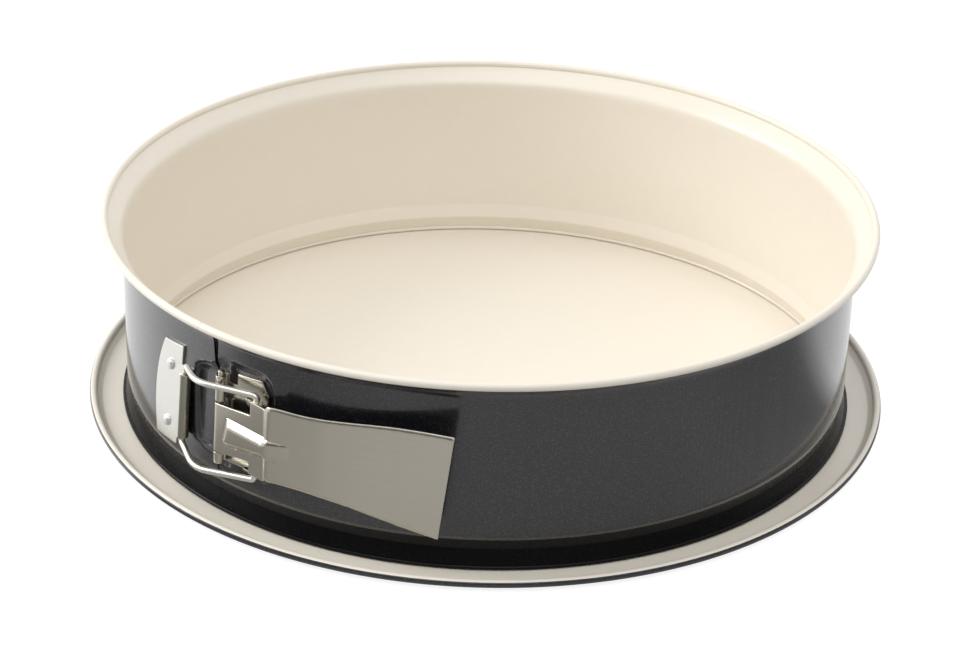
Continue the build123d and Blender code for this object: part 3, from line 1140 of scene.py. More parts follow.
@dataclass
class Lever:
    """The toggle lever: a curled hinge end, a raised rib, ears for the wire and a hollow grip."""

    latch: Latch
    length: float = 84.0
    curl_wrap: float = 5.0
    curl_top: float = 6.4
    curl_bottom: float = -12.2
    notch_end: float = 15.7
    notch_top: float = 8.9
    notch_bottom: float = -8.8
    rise: float = 0.4
    root_height: float = 27.6
    grip_top: tuple[Point2, ...] = (
        (23.9, 15.9), (27.5, 16.5), (35.7, 16.8), (43.6, 17.7), (51.3, 18.8),
        (58.7, 20.0), (66.1, 21.1), (74.5, 22.1), (84.6, 23.0),
    )
    grip_bottom: tuple[Point2, ...] = (
        (23.9, -12.2), (28.3, -11.8), (36.8, -11.6), (44.8, -12.0), (52.7, -12.9),
        (60.4, -14.2), (68.0, -15.3), (75.8, -16.0), (81.6, -16.4),
    )
    end_corner: float = 0.6
    flat_end: float = 22.5
    step: float = 1.0
    step_length: float = 2.2
    edge_turn: float = 1.3
    edge_drop: float = 0.62
    hollow_gap: float = 5.6
    end_gap: float = 9.6
    grip_shares: tuple[float, float] = (0.3, 0.68)
    rib_corners: tuple[Point2, ...] = ((2.9, -7.8), (33.3, -2.0), (33.4, 3.9), (5.2, 3.0))
    rib_height: float = 1.9
    rib_slope: float = 0.84
    rib_soft: float = 0.14
    step_bends: tuple[float, float] = (2.0, 2.0)
    ear_width: float = 7.0
    ear_root: float = 0.8
    ear_arc: tuple[int, int, int] = (190, 350, 14)
    ear_hole_gap: float = 0.08
    notch_corner: float = 0.35
    curl_foot: float = 0.6
    grip_steps: int = 6
    path_step: float = 0.3
    rib_limit: float = 40.0
    guide_foot: float = 0.02
    guide_step: float = 0.3
    pivot_arc: float = 19.6
    pivot_radius: float = 133.1
    wire_radius: float = 1.1

    def section(self) -> np.ndarray:
        """Middle line of the lever's sheet, beyond the curl.

        Returns:
            The line's points.
        """
        level = self.latch.knuckle_middle
        step_end = self.flat_end + self.step_length
        grip = self.length - step_end
        arcs = [self.latch.arc + step_end + share * grip for share in self.grip_shares]
        bends = [self.latch.on_ring(arc, BAND_OUTER + self.hollow_gap) for arc in arcs]
        end = self.latch.on_ring(self.latch.arc + self.length, BAND_OUTER + self.end_gap)
        corners = [(0.0, level), (self.flat_end, level), (step_end, level + self.step)]
        corners += [(bend.x, bend.z) for bend in bends + [end]]
        return rounded_path(corners, [*self.step_bends, grip / 2, grip / 2], self.path_step)

    def rib_rise(self, x: float, y: float) -> float:
        """How far the sheet is pressed out by the rib.

        Args:
            x: distance along the lever in millimetres.
            y: height on the lever in millimetres.

        Returns:
            The rise in millimetres.
        """
        inside = math.inf
        for (x1, y1), (x2, y2) in zip(self.rib_corners, self.rib_corners[1:] + self.rib_corners[:1]):
            across = (x2 - x1) * (y - y1) - (y2 - y1) * (x - x1)
            inside = min(inside, across / math.hypot(x2 - x1, y2 - y1))
        if inside <= 0:
            return 0.0
        step_end = self.flat_end + self.step_length
        tip = self.rib_corners[2][0]
        after = self.rib_height - self.step
        if x < self.flat_end:
            full = self.rib_height
        elif x < step_end:
            full = self.rib_height - self.step * (x - self.flat_end) / self.step_length
        else:
            full = after * max(0.0, (tip - x) / (tip - step_end))
        ramp = inside * self.rib_slope
        soft = self.rib_soft
        over = min(self.rib_limit, (full - ramp) / soft)
        return full - soft * math.log1p(math.exp(over)) if full > soft else 0.0

    def rib_guides(self) -> list[Point2]:
        """Points along the foot, the slope and the crest of the rib, which keep its edges crisp.

        Returns:
            The points in the blank.
        """
        corners = [np.array(corner) for corner in self.rib_corners]
        ramp = self.rib_height / self.rib_slope
        found = []
        step = self.guide_step
        for inset in (self.guide_foot, step, ramp / 2, ramp - step, ramp, ramp + step):
            sides = []
            for start, end in zip(corners, corners[1:] + corners[:1]):
                along = (end - start) / np.linalg.norm(end - start)
                sides.append((start + inset * np.array((-along[1], along[0])), along))
            ring = []
            for (spot, along), (other, across) in zip(sides[-1:] + sides[:-1], sides):
                share = np.cross(other - spot, across) / np.cross(along, across)
                ring.append(spot + along * share)
            for start, end in zip(ring, ring[1:] + ring[:1]):
                count = max(2, round(float(np.linalg.norm(end - start)) / 0.5))
                found += [tuple(start + (end - start) * step / count) for step in range(count)]
        return [(float(x), float(y)) for x, y in found if x < self.rib_corners[2][0]]

    def turned_edge(self, x: float, y: float) -> float:
        """How far the grip's long edges are turned towards the band.

        Args:
            x: distance along the lever in millimetres.
            y: height on the lever in millimetres.

        Returns:
            The depth in millimetres.
        """
        top = float(np.interp(x, *zip(*self.grip_top)))
        bottom = float(np.interp(x, *zip(*self.grip_bottom)))
        near = max(0.0, 1 - max(0.0, min(top - y, y - bottom)) / self.edge_turn)
        return self.edge_drop * near**2 * smooth_step((x - self.flat_end) / self.step_length)

    def outline(self) -> list[Point2]:
        """Outline of the blank: the curl lies on the left of x = 0.

        Returns:
            The outline's points.
        """
        top = self.rise + self.root_height / 2
        bottom = self.rise - self.root_height / 2
        upper, lower = (smooth_curve(side, self.grip_steps) for side in (self.grip_top, self.grip_bottom))
        curl = -self.curl_wrap * self.latch.knuckle_middle
        corners = [(curl, self.curl_top), (0.0, self.curl_top), (self.notch_end, self.notch_top)]
        corners += [(self.notch_end, top), (self.flat_end, top)] + upper + lower[::-1]
        corners += [(self.flat_end, bottom), (self.notch_end, bottom), (self.notch_end, self.notch_bottom)]
        corners += [(self.curl_foot, self.curl_bottom), (curl, self.curl_bottom)]
        radii = [0.0] * len(corners)
        for place in (2, 3, len(corners) - 4, len(corners) - 3):
            radii[place] = self.notch_corner
        radii[4 + len(upper)] = self.end_corner
        radii[5 + len(upper)] = self.end_corner
        return soften(corners, radii)

    def build(self) -> list[bpy.types.Object]:
        """Build the formed sheet and its two ears.

        Returns:
            The lever's pieces.
        """
        face = self.latch.face
        path = self.section()
        radius = self.latch.knuckle_middle

        def place(x: float, y: float) -> Vector:
            """Formed place of a point of the blank.

            Args:
                x: distance across the blank in millimetres.
                y: height on the blank in millimetres.

            Returns:
                The point in the world.
            """
            if x < 0:
                angle = -x / radius
                return face.point(-radius * math.sin(angle), y, radius * math.cos(angle))
            level = float(np.interp(x, path[:, 0], path[:, 1]))
            return face.point(x, y, level + self.rib_rise(x, y) - self.turned_edge(x, y))

        looks = {"spacing": 0.62, "edge_round": 0.3, "guides": self.rib_guides()}
        body = FormedSheet("lever_plate", self.outline(), self.latch.sheet, place, NICKEL, **looks).build()
        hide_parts("lever")
        pieces = [body]
        pivot = self.latch.on_ring(self.pivot_arc, self.pivot_radius)
        for name, side in (("upper", 1), ("lower", -1)):
            pieces.append(self._ear(name, side, pivot))
        for piece in pieces:
            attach(piece, Body.LEVER.value)
        return pieces

    def _ear(self, name: str, side: int, pivot: Vector) -> bpy.types.Object:
        """Build one flange folded towards the band, with a hole for the wire.

        Args:
            name: which ear.
            side: 1 for the upper and -1 for the lower.
            pivot: the wire's place in the latch's plane.

        Returns:
            The ear.
        """
        face = self.latch.face
        edge = self.rise + side * (self.root_height / 2 - self.latch.sheet / 2)
        level = self.latch.knuckle_middle
        tip = self.wire_radius + self.latch.sheet
        half = self.ear_width / 2
        root = pivot.z + self.ear_root
        rim = [(half, level), (-half, level), (-half, root)]
        rim += arc_points((0.0, pivot.z), tip, *self.ear_arc) + [(half, root)]
        holes = [((0.0, pivot.z), self.wire_radius + self.ear_hole_gap)]

        def place(x: float, z: float) -> Vector:
            """Place of a point of the ear."""
            return face.point(pivot.x + x, edge, z)

        looks = {"spacing": 0.7, "edge_round": 0.12, "holes": holes}
        return FormedSheet(f"lever_ear_{name}", rim, self.latch.sheet, place, NICKEL, **looks).build()


@dataclass
class Bracket:
    """The hinge bracket in the pocket, with two knuckles curled round the pin."""

    latch: Latch
    left: float = 5.0
    right: float = 24.0
    top: float = 54.0
    bottom: float = 20.5
    crest: tuple[Point2, ...] = ((5.4, 13.9), (5.4, 18.2), (16.2, 19.7), (19.3, 14.7))
    corner: float = 4.0
    floor_radius: float = 129.5
    spans: tuple[Point2, ...] = ((20.2, 24.4), (44.2, 53.6))
    wrap: float = 4.9
    wrap_start: float = 0.12
    wrap_steps: int = 40
    bend_back: Point2 = (0.9, 0.1)
    bend_side: float = 0.2
    foot_fall: float = 0.2
    edge_bends: tuple[float, ...] = (0.4, 0.6, 0.6, 1.6, 1.6)
    rivet_arc: float = 15.0
    rivet_height: float = 38.0
    rivet_spacing: float = 17.0
    rivet_seat: float = 0.85
    rivet_head: Point2 = (2.1, 0.7)

    def build(self) -> bpy.types.Object:
        """Build the bracket.

        Returns:
            The bracket.
        """
        latch = self.latch
        middle_radius = self.floor_radius + latch.sheet / 2
        centre = latch.on_ring((self.left + self.right) / 2, middle_radius, (self.top + self.bottom) / 2)
        half_w, half_h = (self.right - self.left) / 2, (self.top - self.bottom) / 2
        left, right = centre.x - half_w, centre.x + half_w
        low = centre.y - half_h
        radius = latch.knuckle_middle
        plate_level = middle_radius - latch.radius
        back, out = self.bend_back
        bends = [(left, plate_level), (left - back, plate_level + out), (self.bend_side, -radius)]
        angles = -np.linspace(self.wrap_start, self.wrap, self.wrap_steps)
        turns = [(radius * math.sin(angle), -radius * math.cos(angle)) for angle in angles]
        path = np.array(bends + turns)
        run = np.concatenate([[0.0], np.cumsum(np.linalg.norm(np.diff(path, axis=0), axis=1))])
        reach = float(run[-1])

        def place(x: float, y: float) -> Vector:
            """Formed place of a point of the blank.

            Args:
                x: distance across the blank in millimetres.
                y: height on the blank in millimetres.

            Returns:
                The point in the world.
            """
            if x >= left:
                return latch.on_shell(x, y, middle_radius)
            across, out = (float(np.interp(left - x, run, part)) for part in path.T)
            return latch.face.point(across, y, out)

        upright = math.cos(math.radians(latch.lean))
        levels = [(level - latch.height) / upright for span in self.spans for level in span]
        corners = [(left, levels[0] - self.foot_fall), (left, levels[0])]
        corners += [(left - reach, levels[0]), (left - reach, levels[1])]
        corners += [(left, levels[1]), (left, levels[2])]
        corners += [(left - reach, levels[2]), (left - reach, levels[3])]
        corners += [(left, levels[3]), (left + self.bend_side, self.crest[0][1]), *self.crest]
        corners += [(right, low + self.corner), (right - self.corner, low)]
        plain = len(corners) - len(self.edge_bends)
        outline = soften(corners, [0.0] * plain + list(self.edge_bends))
        looks = {"spacing": 0.8, "edge_round": 0.25}
        piece = FormedSheet("bracket_plate", outline, latch.sheet, place, NICKEL, **looks).build()
        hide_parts("hinge_bracket")
        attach(piece, Body.RING.value)
        return piece

    def build_rivets(self) -> bpy.types.Object:
        """Build the bracket's rivets.

        Returns:
            The rivets.
        """
        face = Face.on_band(self.rivet_arc, self.floor_radius, self.rivet_height, self.latch.lean)
        sizes = (self.rivet_spacing, self.rivet_seat, *self.rivet_head)
        return RivetRow("rivets_bracket", "bracket_rivets", Body.RING, face, *sizes).build()


@dataclass
class Catch:
    """The bowed catch plate with its curled tongue."""

    arc: float = 26.0
    height_middle: float = 33.8
    lean: float = 9.5
    sheet: float = 0.9
    width: float = 11.4
    flare: float = 2.4
    bow_steps: int = 24
    tongue_bends: tuple[float, ...] = (0.5, 0.3, 0.3, 0.5)
    shade_start: float = 0.1
    height: float = 40.4
    rise: float = 0.8
    slant: float = 3.2
    bow: float = 3.4
    corner: float = 0.5
    hook_arc: float = 14.8
    hook_radius: float = 133.15
    hook_lean: float = 6.5
    hook_height_middle: float = 34.8
    hook_width: float = 25.5
    hook_inner_radius: float = 1.25
    hook_wrap: float = 118.0
    hook_blend: float = 3.0
    band_radius: float = BAND_OUTER
    rivet_arc: float = 26.8
    rivet_spacing: float = 23.6
    rivet_head: Point2 = (2.1, 1.25)

    def build(self) -> bpy.types.Object:
        """Build the plate and its tongue from one blank.

        Returns:
            The catch.
        """
        middle = self.band_radius + self.sheet / 2
        bend = self.hook_inner_radius + self.sheet / 2
        plate = Face.on_band(-self.arc, self.band_radius, self.height_middle, self.lean)
        hook = Face.on_band(-self.hook_arc, self.hook_radius, self.hook_height_middle, self.hook_lean)
        reach = bend * math.radians(90 + self.hook_wrap)

        def place(x: float, y: float) -> Vector:
            """Formed place of a point of the blank.

            Args:
                x: distance across the blank in millimetres.
                y: height on the blank in millimetres.

            Returns:
                The point in the world.
            """
            if x > 0:
                angle = x / bend
                return hook.point(bend * math.sin(angle), y, -bend * math.cos(angle))
            point = hook.point(x, y, -bend)
            away = math.hypot(point.x, point.y)
            share = smooth_step(1 + x / self.hook_blend)
            scale = (middle + (away - middle) * share) / away
            return Vector((point.x * scale, point.y * scale, point.z))

        right, top, low = self.width / 2, self.rise + self.height / 2, self.rise - self.height / 2
        upper = np.array((-right, top - self.slant / 2))
        chord = np.array((-right - self.flare, low - self.slant / 2)) - upper
        length = float(np.hypot(*chord))
        bow_radius = (length**2 / 4 + self.bow**2) / (2 * self.bow)
        turn = math.asin(length / 2 / bow_radius)
        away = np.array((chord[1], -chord[0])) / length
        outline = [(right, top + self.slant / 2)]
        for angle in np.linspace(-turn, turn, self.bow_steps):
            along = chord * (0.5 + bow_radius * math.sin(angle) / length)
            outline.append(tuple(upper + along + away * (bow_radius * (math.cos(angle) - 1) + self.bow)))
        outline.append((right, low + self.slant / 2))
        blank = []
        for x, y in outline:
            spot = hook.local(plate.point(x, y, 0.0))
            blank.append((spot.x, spot.y))
        edge_top, edge_low = np.array(blank[0]), np.array(blank[-1])

        def on_edge(y: float) -> Point2:
            """Point on the plate's straight edge at a height of the tongue.

            Args:
                y: height on the tongue in millimetres.

            Returns:
                The point on the blank.
            """
            share = (edge_top[1] - y) / (edge_top[1] - edge_low[1])
            spot = edge_top + (edge_low - edge_top) * share
            return float(spot[0]), float(spot[1])

        half_tongue = self.hook_width / 2
        corners = blank + [on_edge(-half_tongue), (reach, -half_tongue)]
        corners += [(reach, half_tongue), on_edge(half_tongue)]
        ends = [self.corner, self.corner]
        radii = ends + [0.0] * (self.bow_steps - 2) + ends + list(self.tongue_bends)
        outline = soften(corners, radii)
        piece = FormedSheet("catch_sheet", outline, self.sheet, place, PALE_STEEL, spacing=0.7).build()
        # Faces past the start of the curl take the darker steel of painted shade.
        piece.data.materials.append(TONGUE_PAINTED_SHADE.material())
        for face in piece.data.polygons:
            if hook.local(face.center / MM).x > self.shade_start:
                face.material_index = 1
        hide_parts("catch_plate")
        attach(piece, Body.RING_END.value)
        return piece

    def build_rivets(self) -> bpy.types.Object:
        """Build the catch plate's rivets.

        Returns:
            The rivets.
        """
        face = Face.on_band(-self.rivet_arc, self.band_radius, self.height_middle, self.lean)
        sizes = (self.rivet_spacing, self.sheet, *self.rivet_head)
        return RivetRow("rivets_catch", "catch_rivets", Body.RING_END, face, *sizes).build()


def round_bar(
    name: str, path: np.ndarray, radius: float, finish: Finish, sides: int = 24
) -> bpy.types.Object:
    """Round bar along a path, with softly domed ends.

    Args:
        name: the object's name.
        path: the middle line in millimetres, in the world.
        radius: the bar's radius.
        finish: its finish.
        sides: points round the bar.

    Returns:
        The bar.
    """
    along = np.gradient(path, axis=0)
    along /= np.linalg.norm(along, axis=1)[:, None]
    side = np.cross(along[0], BAR_SIDE)
    rings = []
    dome = [(math.sin(turn), 1 - math.cos(turn)) for turn in np.radians(DOME_TURNS)]
    start, end = path[0] + along[0] * radius * DOME, path[-1] - along[-1] * radius * DOME
    stations = [(start - along[0] * radius * DOME * (1 - back), along[0], size) for size, back in dome]
    stations += [(point, heading, 1.0) for point, heading in zip([start, *path[1:-1], end], along)]
    stations += [(end + along[-1] * radius * DOME * (1 - back), along[-1], size) for size, back in dome[::-1]]
    for middle, heading, size in stations:
        side = side - heading * float(side @ heading)
        side /= np.linalg.norm(side)
        other = np.cross(heading, side)
        angles = np.linspace(0, 2 * math.pi, sides, endpoint=False)
        wide = size * radius
        rings.append(middle + wide * (np.cos(angles)[:, None] * side + np.sin(angles)[:, None] * other))
    points = [rings[0].mean(axis=0)] + [point for ring in rings[1:-1] for point in ring]
    points.append(rings[-1].mean(axis=0))
    count = len(rings) - 2
    faces = []
    for ring in range(count - 1):
        for turn in range(sides):
            after = (turn + 1) % sides
            low, high = 1 + ring * sides, 1 + (ring + 1) * sides
            faces.append([low + turn, low + after, high + after, high + turn])
    last = len(points) - 1
    for turn in range(sides):
        after = (turn + 1) % sides
        faces.append([0, 1 + after, 1 + turn])
        faces.append([last, 1 + (count - 1) * sides + turn, 1 + (count - 1) * sides + after])
    return mesh_object(name, np.array(points), faces, [finish], sharp_angle=BAR_SHARP)


@dataclass
class Wire:
    """The wire bail and the hinge pin."""

    latch: Latch
    lever: Lever
    radius: float = 1.1
    bend: float = 3.0
    arm_bend: float = 13.0
    end_length: float = 2.6
    upper_gap: float = 0.5
    lower_gap: float = 2.0
    bend_reach: float = 7.0
    bend_rise: float = 5.0
    upper_drop: float = 2.9
    lower_drop: float = 4.2
    leg_length: float = 30.0
    path_step: float = 0.45
    leg_drop: float = 2.8
    hook_arc: float = 14.3
    hook_radius: float = 133.15
    hook_height: float = 34.8
    hook_lean: float = 6.5
    shift: float = 0.5
    pin_radius: float = 1.15
    pin_below: float = 17.5
    pin_length: float = 36.0

    def build_bail(self) -> bpy.types.Object:
        """Build the bent wire.

        Returns:
            The bail.
        """
        face = self.latch.face
        pivot = self.latch.on_ring(self.lever.pivot_arc, self.lever.pivot_radius)
        hook = Face.on_band(-self.hook_arc, self.hook_radius, self.hook_height, self.hook_lean)
        leg = face.local(hook.origin - hook.right * self.shift)
        lean = math.radians(self.hook_lean - self.latch.lean)
        along = Vector((math.sin(lean), math.cos(lean), 0.0))
        middle = leg - along * (leg.y + self.leg_drop)
        half = self.lever.root_height / 2
        top = self.lever.rise + half + self.upper_gap + self.radius
        bottom = self.lever.rise - half - self.lower_gap - self.radius
        corners = [
            Vector((pivot.x, top - self.upper_gap - self.end_length - self.radius, pivot.z)),
            Vector((pivot.x, top, pivot.z)),
            Vector((-self.bend_reach, top - self.upper_drop, self.bend_rise)),
            middle + along * (self.leg_length / 2),
            middle - along * (self.leg_length / 2),
            Vector((-self.bend_reach, bottom - self.lower_drop, self.bend_rise)),
            Vector((pivot.x, bottom, pivot.z)),
            Vector((pivot.x, bottom + self.lower_gap + self.end_length + self.radius, pivot.z)),
        ]
        world = [tuple(face.point(*corner)) for corner in corners]
        bends = [self.bend / 2, self.arm_bend, self.bend / 2] * 2
        piece = round_bar("bail_wire", rounded_path(world, bends, self.path_step), self.radius, WIRE_STEEL)
        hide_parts("wire_bail")
        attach(piece, Body.BAIL.value)
        return piece

    def build_pin(self) -> bpy.types.Object:
        """Build the hinge pin.

        Returns:
            The pin.
        """
        face = self.latch.face
        levels = (-self.pin_below, self.pin_length - self.pin_below)
        ends = [tuple(face.point(0.0, level, 0.0)) for level in levels]
        piece = round_bar("pin_rod", rounded_path(ends, [], 1.0), self.pin_radius, NICKEL)
        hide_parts("hinge_pin")
        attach(piece, Body.RING.value)
        return piece


class RivetNodes:
    """Geometry nodes that set a row of domed rivets."""

    NAME = "rivet_row"
    SEGMENTS = 40
    RINGS = 24
    FLAT_SIDE = -0.08
    INPUTS = {
        "Origin": "Vector", "Turn": "Rotation", "Spacing": "Float", "Head Radius": "Float",
        "Head Height": "Float", "Seat": "Float", "Tail Radius": "Float", "Tail Height": "Float",
        "Tail Depth": "Float", "Finish": "Material",
    }

    @classmethod
    def tree(cls) -> bpy.types.NodeTree:
        """Build the node group.

        Returns:
            The group, with named inputs for the row's place, sizes and finish.
        """
        known = bpy.data.node_groups.get(cls.NAME)
        if known:
            return known
        tree, sheet, given, out = new_group(cls.NAME, "Geometry", cls.INPUTS, {"Geometry": "Geometry"})
        start = sheet.add("ShaderNodeCombineXYZ", {"Y": sheet.math("MULTIPLY", given["Spacing"], -0.5)})
        offset = sheet.add("ShaderNodeCombineXYZ", {"Y": given["Spacing"]})
        line = {"Count": 2, "Start Location": start.outputs[0], "Offset": offset.outputs[0]}
        row = sheet.add("GeometryNodeMeshLine", line, mode="OFFSET")
        join = sheet.add("GeometryNodeJoinGeometry")
        for part in ("Head", "Tail"):
            sheet.fill(join.inputs[0], cls._cap(sheet, given, part))
        smooth = sheet.add("GeometryNodeSetShadeSmooth", {0: join.outputs[0]})
        placed = {"Points": row.outputs[0], "Instance": smooth.outputs[0]}
        spread = sheet.add("GeometryNodeInstanceOnPoints", placed)
        moved = {"Geometry": spread.outputs[0], "Translation": given["Origin"], "Rotation": given["Turn"]}
        move = sheet.add("GeometryNodeTransform", moved)
        real = sheet.add("GeometryNodeRealizeInstances", {0: move.outputs[0]})
        painted = {"Geometry": real.outputs[0], "Material": given["Finish"]}
        sheet.fill(out["Geometry"], sheet.add("GeometryNodeSetMaterial", painted).outputs[0])
        return tree

    @classmethod
    def _cap(cls, sheet: NodeSheet, given: bpy.types.bpy_prop_collection, part: str) -> bpy.types.NodeSocket:
        """Add a flattened ball with one flat side: the head outside or the tail inside.

        Args:
            sheet: the sheet to add to.
            given: the group's inputs.
            part: Head or Tail.

        Returns:
            The socket of its geometry.
        """
        round_shape = {"Segments": cls.SEGMENTS, "Rings": cls.RINGS, "Radius": 1.0}
        ball = sheet.add("GeometryNodeMeshUVSphere", round_shape)
        spot = sheet.add("GeometryNodeInputPosition").outputs[0]
        parts = sheet.add("ShaderNodeSeparateXYZ", {0: spot}).outputs
        above = sheet.math("MAXIMUM", parts["Z"], cls.FLAT_SIDE)
        tall = sheet.math("MULTIPLY", above, given[f"{part} Height"])
        if part == "Head":
            level = sheet.math("ADD", tall, given["Seat"])
        else:
            level = sheet.math("SUBTRACT", sheet.math("MULTIPLY", tall, -1.0), given["Tail Depth"])
        axes = {axis: sheet.math("MULTIPLY", parts[axis], given[f"{part} Radius"]) for axis in ("X", "Y")}
        placed = sheet.add("ShaderNodeCombineXYZ", {**axes, "Z": level})
        shaped = {"Geometry": ball.outputs[0], "Position": placed.outputs[0]}
        shape = sheet.add("GeometryNodeSetPosition", shaped).outputs[0]
        return shape if part == "Head" else sheet.add("GeometryNodeFlipFaces", {0: shape}).outputs[0]


@dataclass
class RivetRow:
    """Two rivets, one above the other."""

    name: str
    node: str
    body: Body
    face: Face
    spacing: float
    seat: float
    head_radius: float
    head_height: float
    finish: Finish = RIVET_METAL
    slot: str = "rivet_aluminium"
    tail_radius: float = 2.0
    tail_height: float = 0.4
    tail_depth: float = 0.6

    def build(self) -> bpy.types.Object:
        """Evaluate the rivet nodes into a mesh.

        Returns:
            The rivets.
        """
        tree = RivetNodes.tree()
        holder = bpy.data.objects.new(self.name, bpy.data.meshes.new(self.name))
        bpy.context.scene.collection.objects.link(holder)
        turn = Matrix([self.face.right, self.face.up, self.face.out]).transposed().to_euler()
        values = {
            "Origin": tuple(self.face.origin * MM),
            "Turn": tuple(turn),
            "Finish": self.finish.material(),
        }
        sizes = [label for label, kind in RivetNodes.INPUTS.items() if kind == "Float"]
        for label in sizes:
            values[label] = getattr(self, label.lower().replace(" ", "_")) * MM
        live_nodes(holder, tree, values)
        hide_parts(self.node)
        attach(holder, self.body.value)
        return holder


@dataclass
class Studio:
    """Camera, floor and lights."""

    focal_pixels: float = 2790.0
    image_width: float = 970.0
    sensor: float = 36.0
    elevation: float = 26.94
    turn: float = 42.74
    roll: float = 1.549
    distance: float = 1016.0
    aim: tuple[float, float] = (-0.8, 23.7)
    floor_size: float = 40.0
    floor_tone: float = 0.3
    floor_glow: float = 0.86
    front_glow: float = 0.24
    back_glow: float = 0.68
    glow_dip: tuple[float, float] = (0.35, 0.85)
    sky_low: float = 0.1
    sky_side: float = 0.85
    sky_high: float = 0.97
    sky_edge: tuple[float, float] = (0.28, 0.58)
    side_edge: tuple[float, float] = (0.9, 1.6)
    floor_edge: tuple[float, float] = (0.95, 1.12)
    right_delay: float = 0.45
    clip_end: float = 50.0
    lamp_aim: float = 0.03
    lamps: tuple[tuple[str, tuple[float, float, float], float, float], ...] = (
        ("top_lamp", (-0.2, -0.9, 1.5), 1.4, 6.6),
        ("left_lamp", (-1.7, 0.2, 0.9), 1.0, 17.0),
        ("right_lamp", (1.7, 0.3, 0.8), 1.0, 0.6),
    )

    def camera(self) -> None:
        """Set the camera at the photograph's place."""
        up_tilt, turn, roll = (math.radians(a) for a in (self.elevation, self.turn, self.roll))
        spin = Matrix.Rotation(turn, 3, "Z")
        aim_x, aim_z = self.aim
        away, rise = self.distance * math.cos(up_tilt), self.distance * math.sin(up_tilt)
        place = Vector((aim_x, -away, aim_z + rise))
        ahead = spin @ Vector((0.0, math.cos(up_tilt), -math.sin(up_tilt)))
        right = spin @ Vector((1.0, 0.0, 0.0))
        above = right.cross(ahead)
        rolled_up = above * math.cos(roll) - right * math.sin(roll)
        rolled_right = right * math.cos(roll) + above * math.sin(roll)
        data = bpy.data.cameras.new("camera")
        data.sensor_width = self.sensor
        data.lens = self.focal_pixels / self.image_width * self.sensor
        data.clip_end = self.clip_end
        made = bpy.data.objects.new("camera", data)
        pose = Matrix([rolled_right, rolled_up, -ahead]).transposed().to_4x4()
        pose.translation = (spin @ place) * MM
        made.matrix_world = pose
        bpy.context.scene.collection.objects.link(made)
        bpy.context.scene.camera = made

    def side_share(self, sheet: NodeSheet, place: bpy.types.NodeSocket, edge: Point2) -> bpy.types.NodeSocket:
        """How far a place lies to the side or behind, seen from the camera.

        Args:
            sheet: the node tree to add to.
            place: a position or direction.
            edge: the angles where the share starts and where it is full.

        Returns:
            0 in front, 1 at the sides and behind.
        """
        turned = {"Vector": place, "Angle": -math.radians(self.turn)}
        spin = sheet.add("ShaderNodeVectorRotate", turned, rotation_type="Z_AXIS")
        parts = sheet.add("ShaderNodeSeparateXYZ", {0: spin.outputs[0]}).outputs
        ahead = sheet.math("MULTIPLY", parts["Y"], -1.0)
        angle = sheet.math("ABSOLUTE", sheet.math("ARCTAN2", parts["X"], ahead))
        right = sheet.math("GREATER_THAN", parts["X"], 0.0)
        angle = sheet.math("MULTIPLY_ADD", right, -self.right_delay, angle)
        start, end = edge
        return sheet.math("DIVIDE", sheet.math("SUBTRACT", angle, start), end - start, clamp=True)

    def floor(self) -> None:
        """Lay the pale floor."""
        half = self.floor_size / 2
        mesh = bpy.data.meshes.new("floor")
        corners = [(-half, -half, 0), (half, -half, 0), (half, half, 0), (-half, half, 0)]
        mesh.from_pydata(corners, [], [(0, 1, 2, 3)])
        finish = bpy.data.materials.new("pale_floor")
        finish.use_nodes = True
        sheet = NodeSheet(finish.node_tree)
        matt = sheet.add("ShaderNodeBsdfDiffuse", {"Color": (*(self.floor_tone,) * 3, 1.0)})
        place = sheet.add("ShaderNodeTexCoord").outputs["Object"]
        share = self.side_share(sheet, place, self.floor_edge)
        front = sheet.math("SUBTRACT", 1.0, self.side_share(sheet, place, self.glow_dip))
        ahead = sheet.math("MULTIPLY", front, self.front_glow)
        others = sheet.math("MULTIPLY_ADD", share, self.back_glow, ahead)
        more = sheet.math("SUBTRACT", self.floor_glow, others)
        camera_ray = sheet.add("ShaderNodeLightPath").outputs["Is Camera Ray"]
        seen = sheet.math("MULTIPLY_ADD", camera_ray, more, others)
        glow = sheet.add("ShaderNodeEmission", {"Strength": seen})
        both = sheet.add("ShaderNodeAddShader", {0: matt.outputs[0], 1: glow.outputs[0]})
        sheet.add("ShaderNodeOutputMaterial", {"Surface": both.outputs[0]})
        mesh.materials.append(finish)
        made = bpy.data.objects.new("floor", mesh)
        bpy.context.scene.collection.objects.link(made)

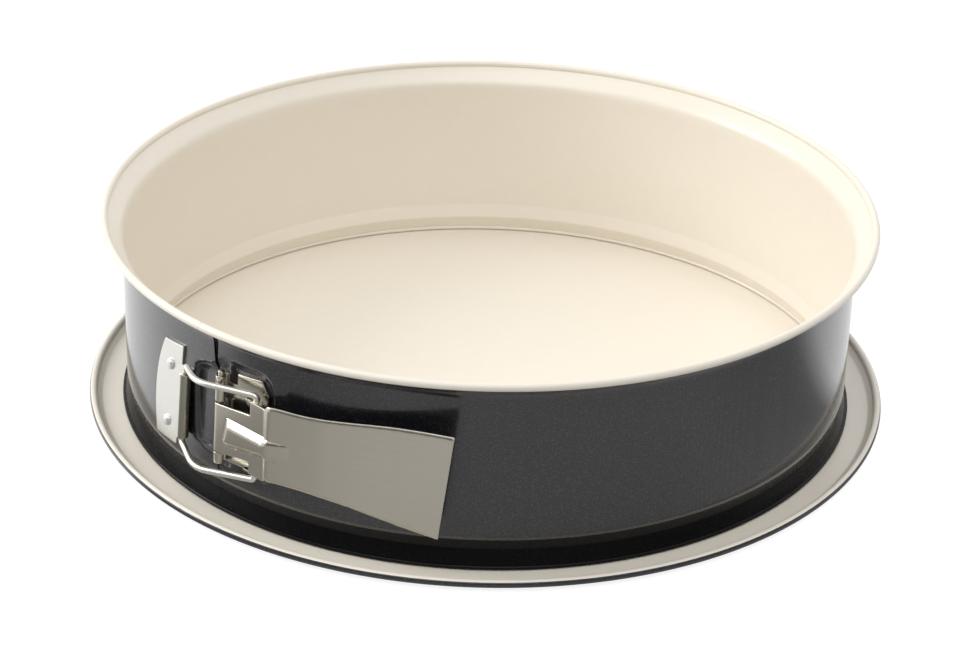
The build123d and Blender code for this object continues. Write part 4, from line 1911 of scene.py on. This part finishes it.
    def world(self) -> None:
        """Set a white surround for the camera and a softer one for light."""
        made = bpy.data.worlds.new("studio")
        bpy.context.scene.world = made
        made.use_nodes = True
        sheet = NodeSheet(made.node_tree)
        place = sheet.add("ShaderNodeTexCoord").outputs["Generated"]
        parts = sheet.add("ShaderNodeSeparateXYZ", {0: place}).outputs
        start, end = self.sky_edge
        share = sheet.math("DIVIDE", sheet.math("SUBTRACT", parts["Z"], start), end - start, clamp=True)
        side = self.side_share(sheet, place, self.side_edge)
        low = sheet.math("MULTIPLY_ADD", side, self.sky_side - self.sky_low, self.sky_low)
        sky = sheet.math("MULTIPLY_ADD", share, sheet.math("SUBTRACT", self.sky_high, low), low)
        camera_ray = sheet.add("ShaderNodeLightPath").outputs["Is Camera Ray"]
        strength = sheet.math("MAXIMUM", camera_ray, sky)
        back = sheet.add("ShaderNodeBackground", {"Color": (1.0, 1.0, 1.0, 1.0), "Strength": strength})
        sheet.add("ShaderNodeOutputWorld", {"Surface": back.outputs[0]})

    def lamp(self, name: str, place: Vector, size: float, power: float) -> None:
        """Add a soft square lamp that faces the tin.

        Args:
            name: the lamp's name.
            place: its place in metres.
            size: the length of its side in metres.
            power: its power in watts.
        """
        data = bpy.data.lights.new(name, "AREA")
        data.shape = "SQUARE"
        data.size = size
        data.energy = power
        made = bpy.data.objects.new(name, data)
        ahead = (Vector((0.0, 0.0, self.lamp_aim)) - place).normalized()
        turned = ahead.to_track_quat("-Z", "Y").to_matrix().to_4x4()
        made.matrix_world = Matrix.Translation(place) @ turned
        bpy.context.scene.collection.objects.link(made)

    def build(self) -> None:
        """Set up the whole studio."""
        self.camera()
        self.floor()
        self.world()
        spin = Matrix.Rotation(math.radians(self.turn), 3, "Z")
        for name, place, size, power in self.lamps:
            self.lamp(name, spin @ Vector(place), size, power)
        bpy.context.scene.view_settings.view_transform = "Standard"


def main() -> None:
    """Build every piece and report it."""
    latch = Latch()
    lever = Lever(latch)
    wire = Wire(latch, lever)
    band = Band()
    catch = Catch()
    bracket = Bracket(latch)
    pieces = [Base().build(), band.build_half(Side.RIGHT), band.build_half(Side.LEFT), band.build_tongue()]
    pieces += [bracket.build(), wire.build_pin(), *lever.build(), wire.build_bail(), catch.build()]
    pieces += [catch.build_rivets(), bracket.build_rivets()]
    for piece in pieces:
        LOG.info("%s: %d polygons", piece.name, len(piece.data.polygons))
    Studio().build()


if __name__ == "__main__":
    logging.basicConfig(level=logging.INFO)
    main()
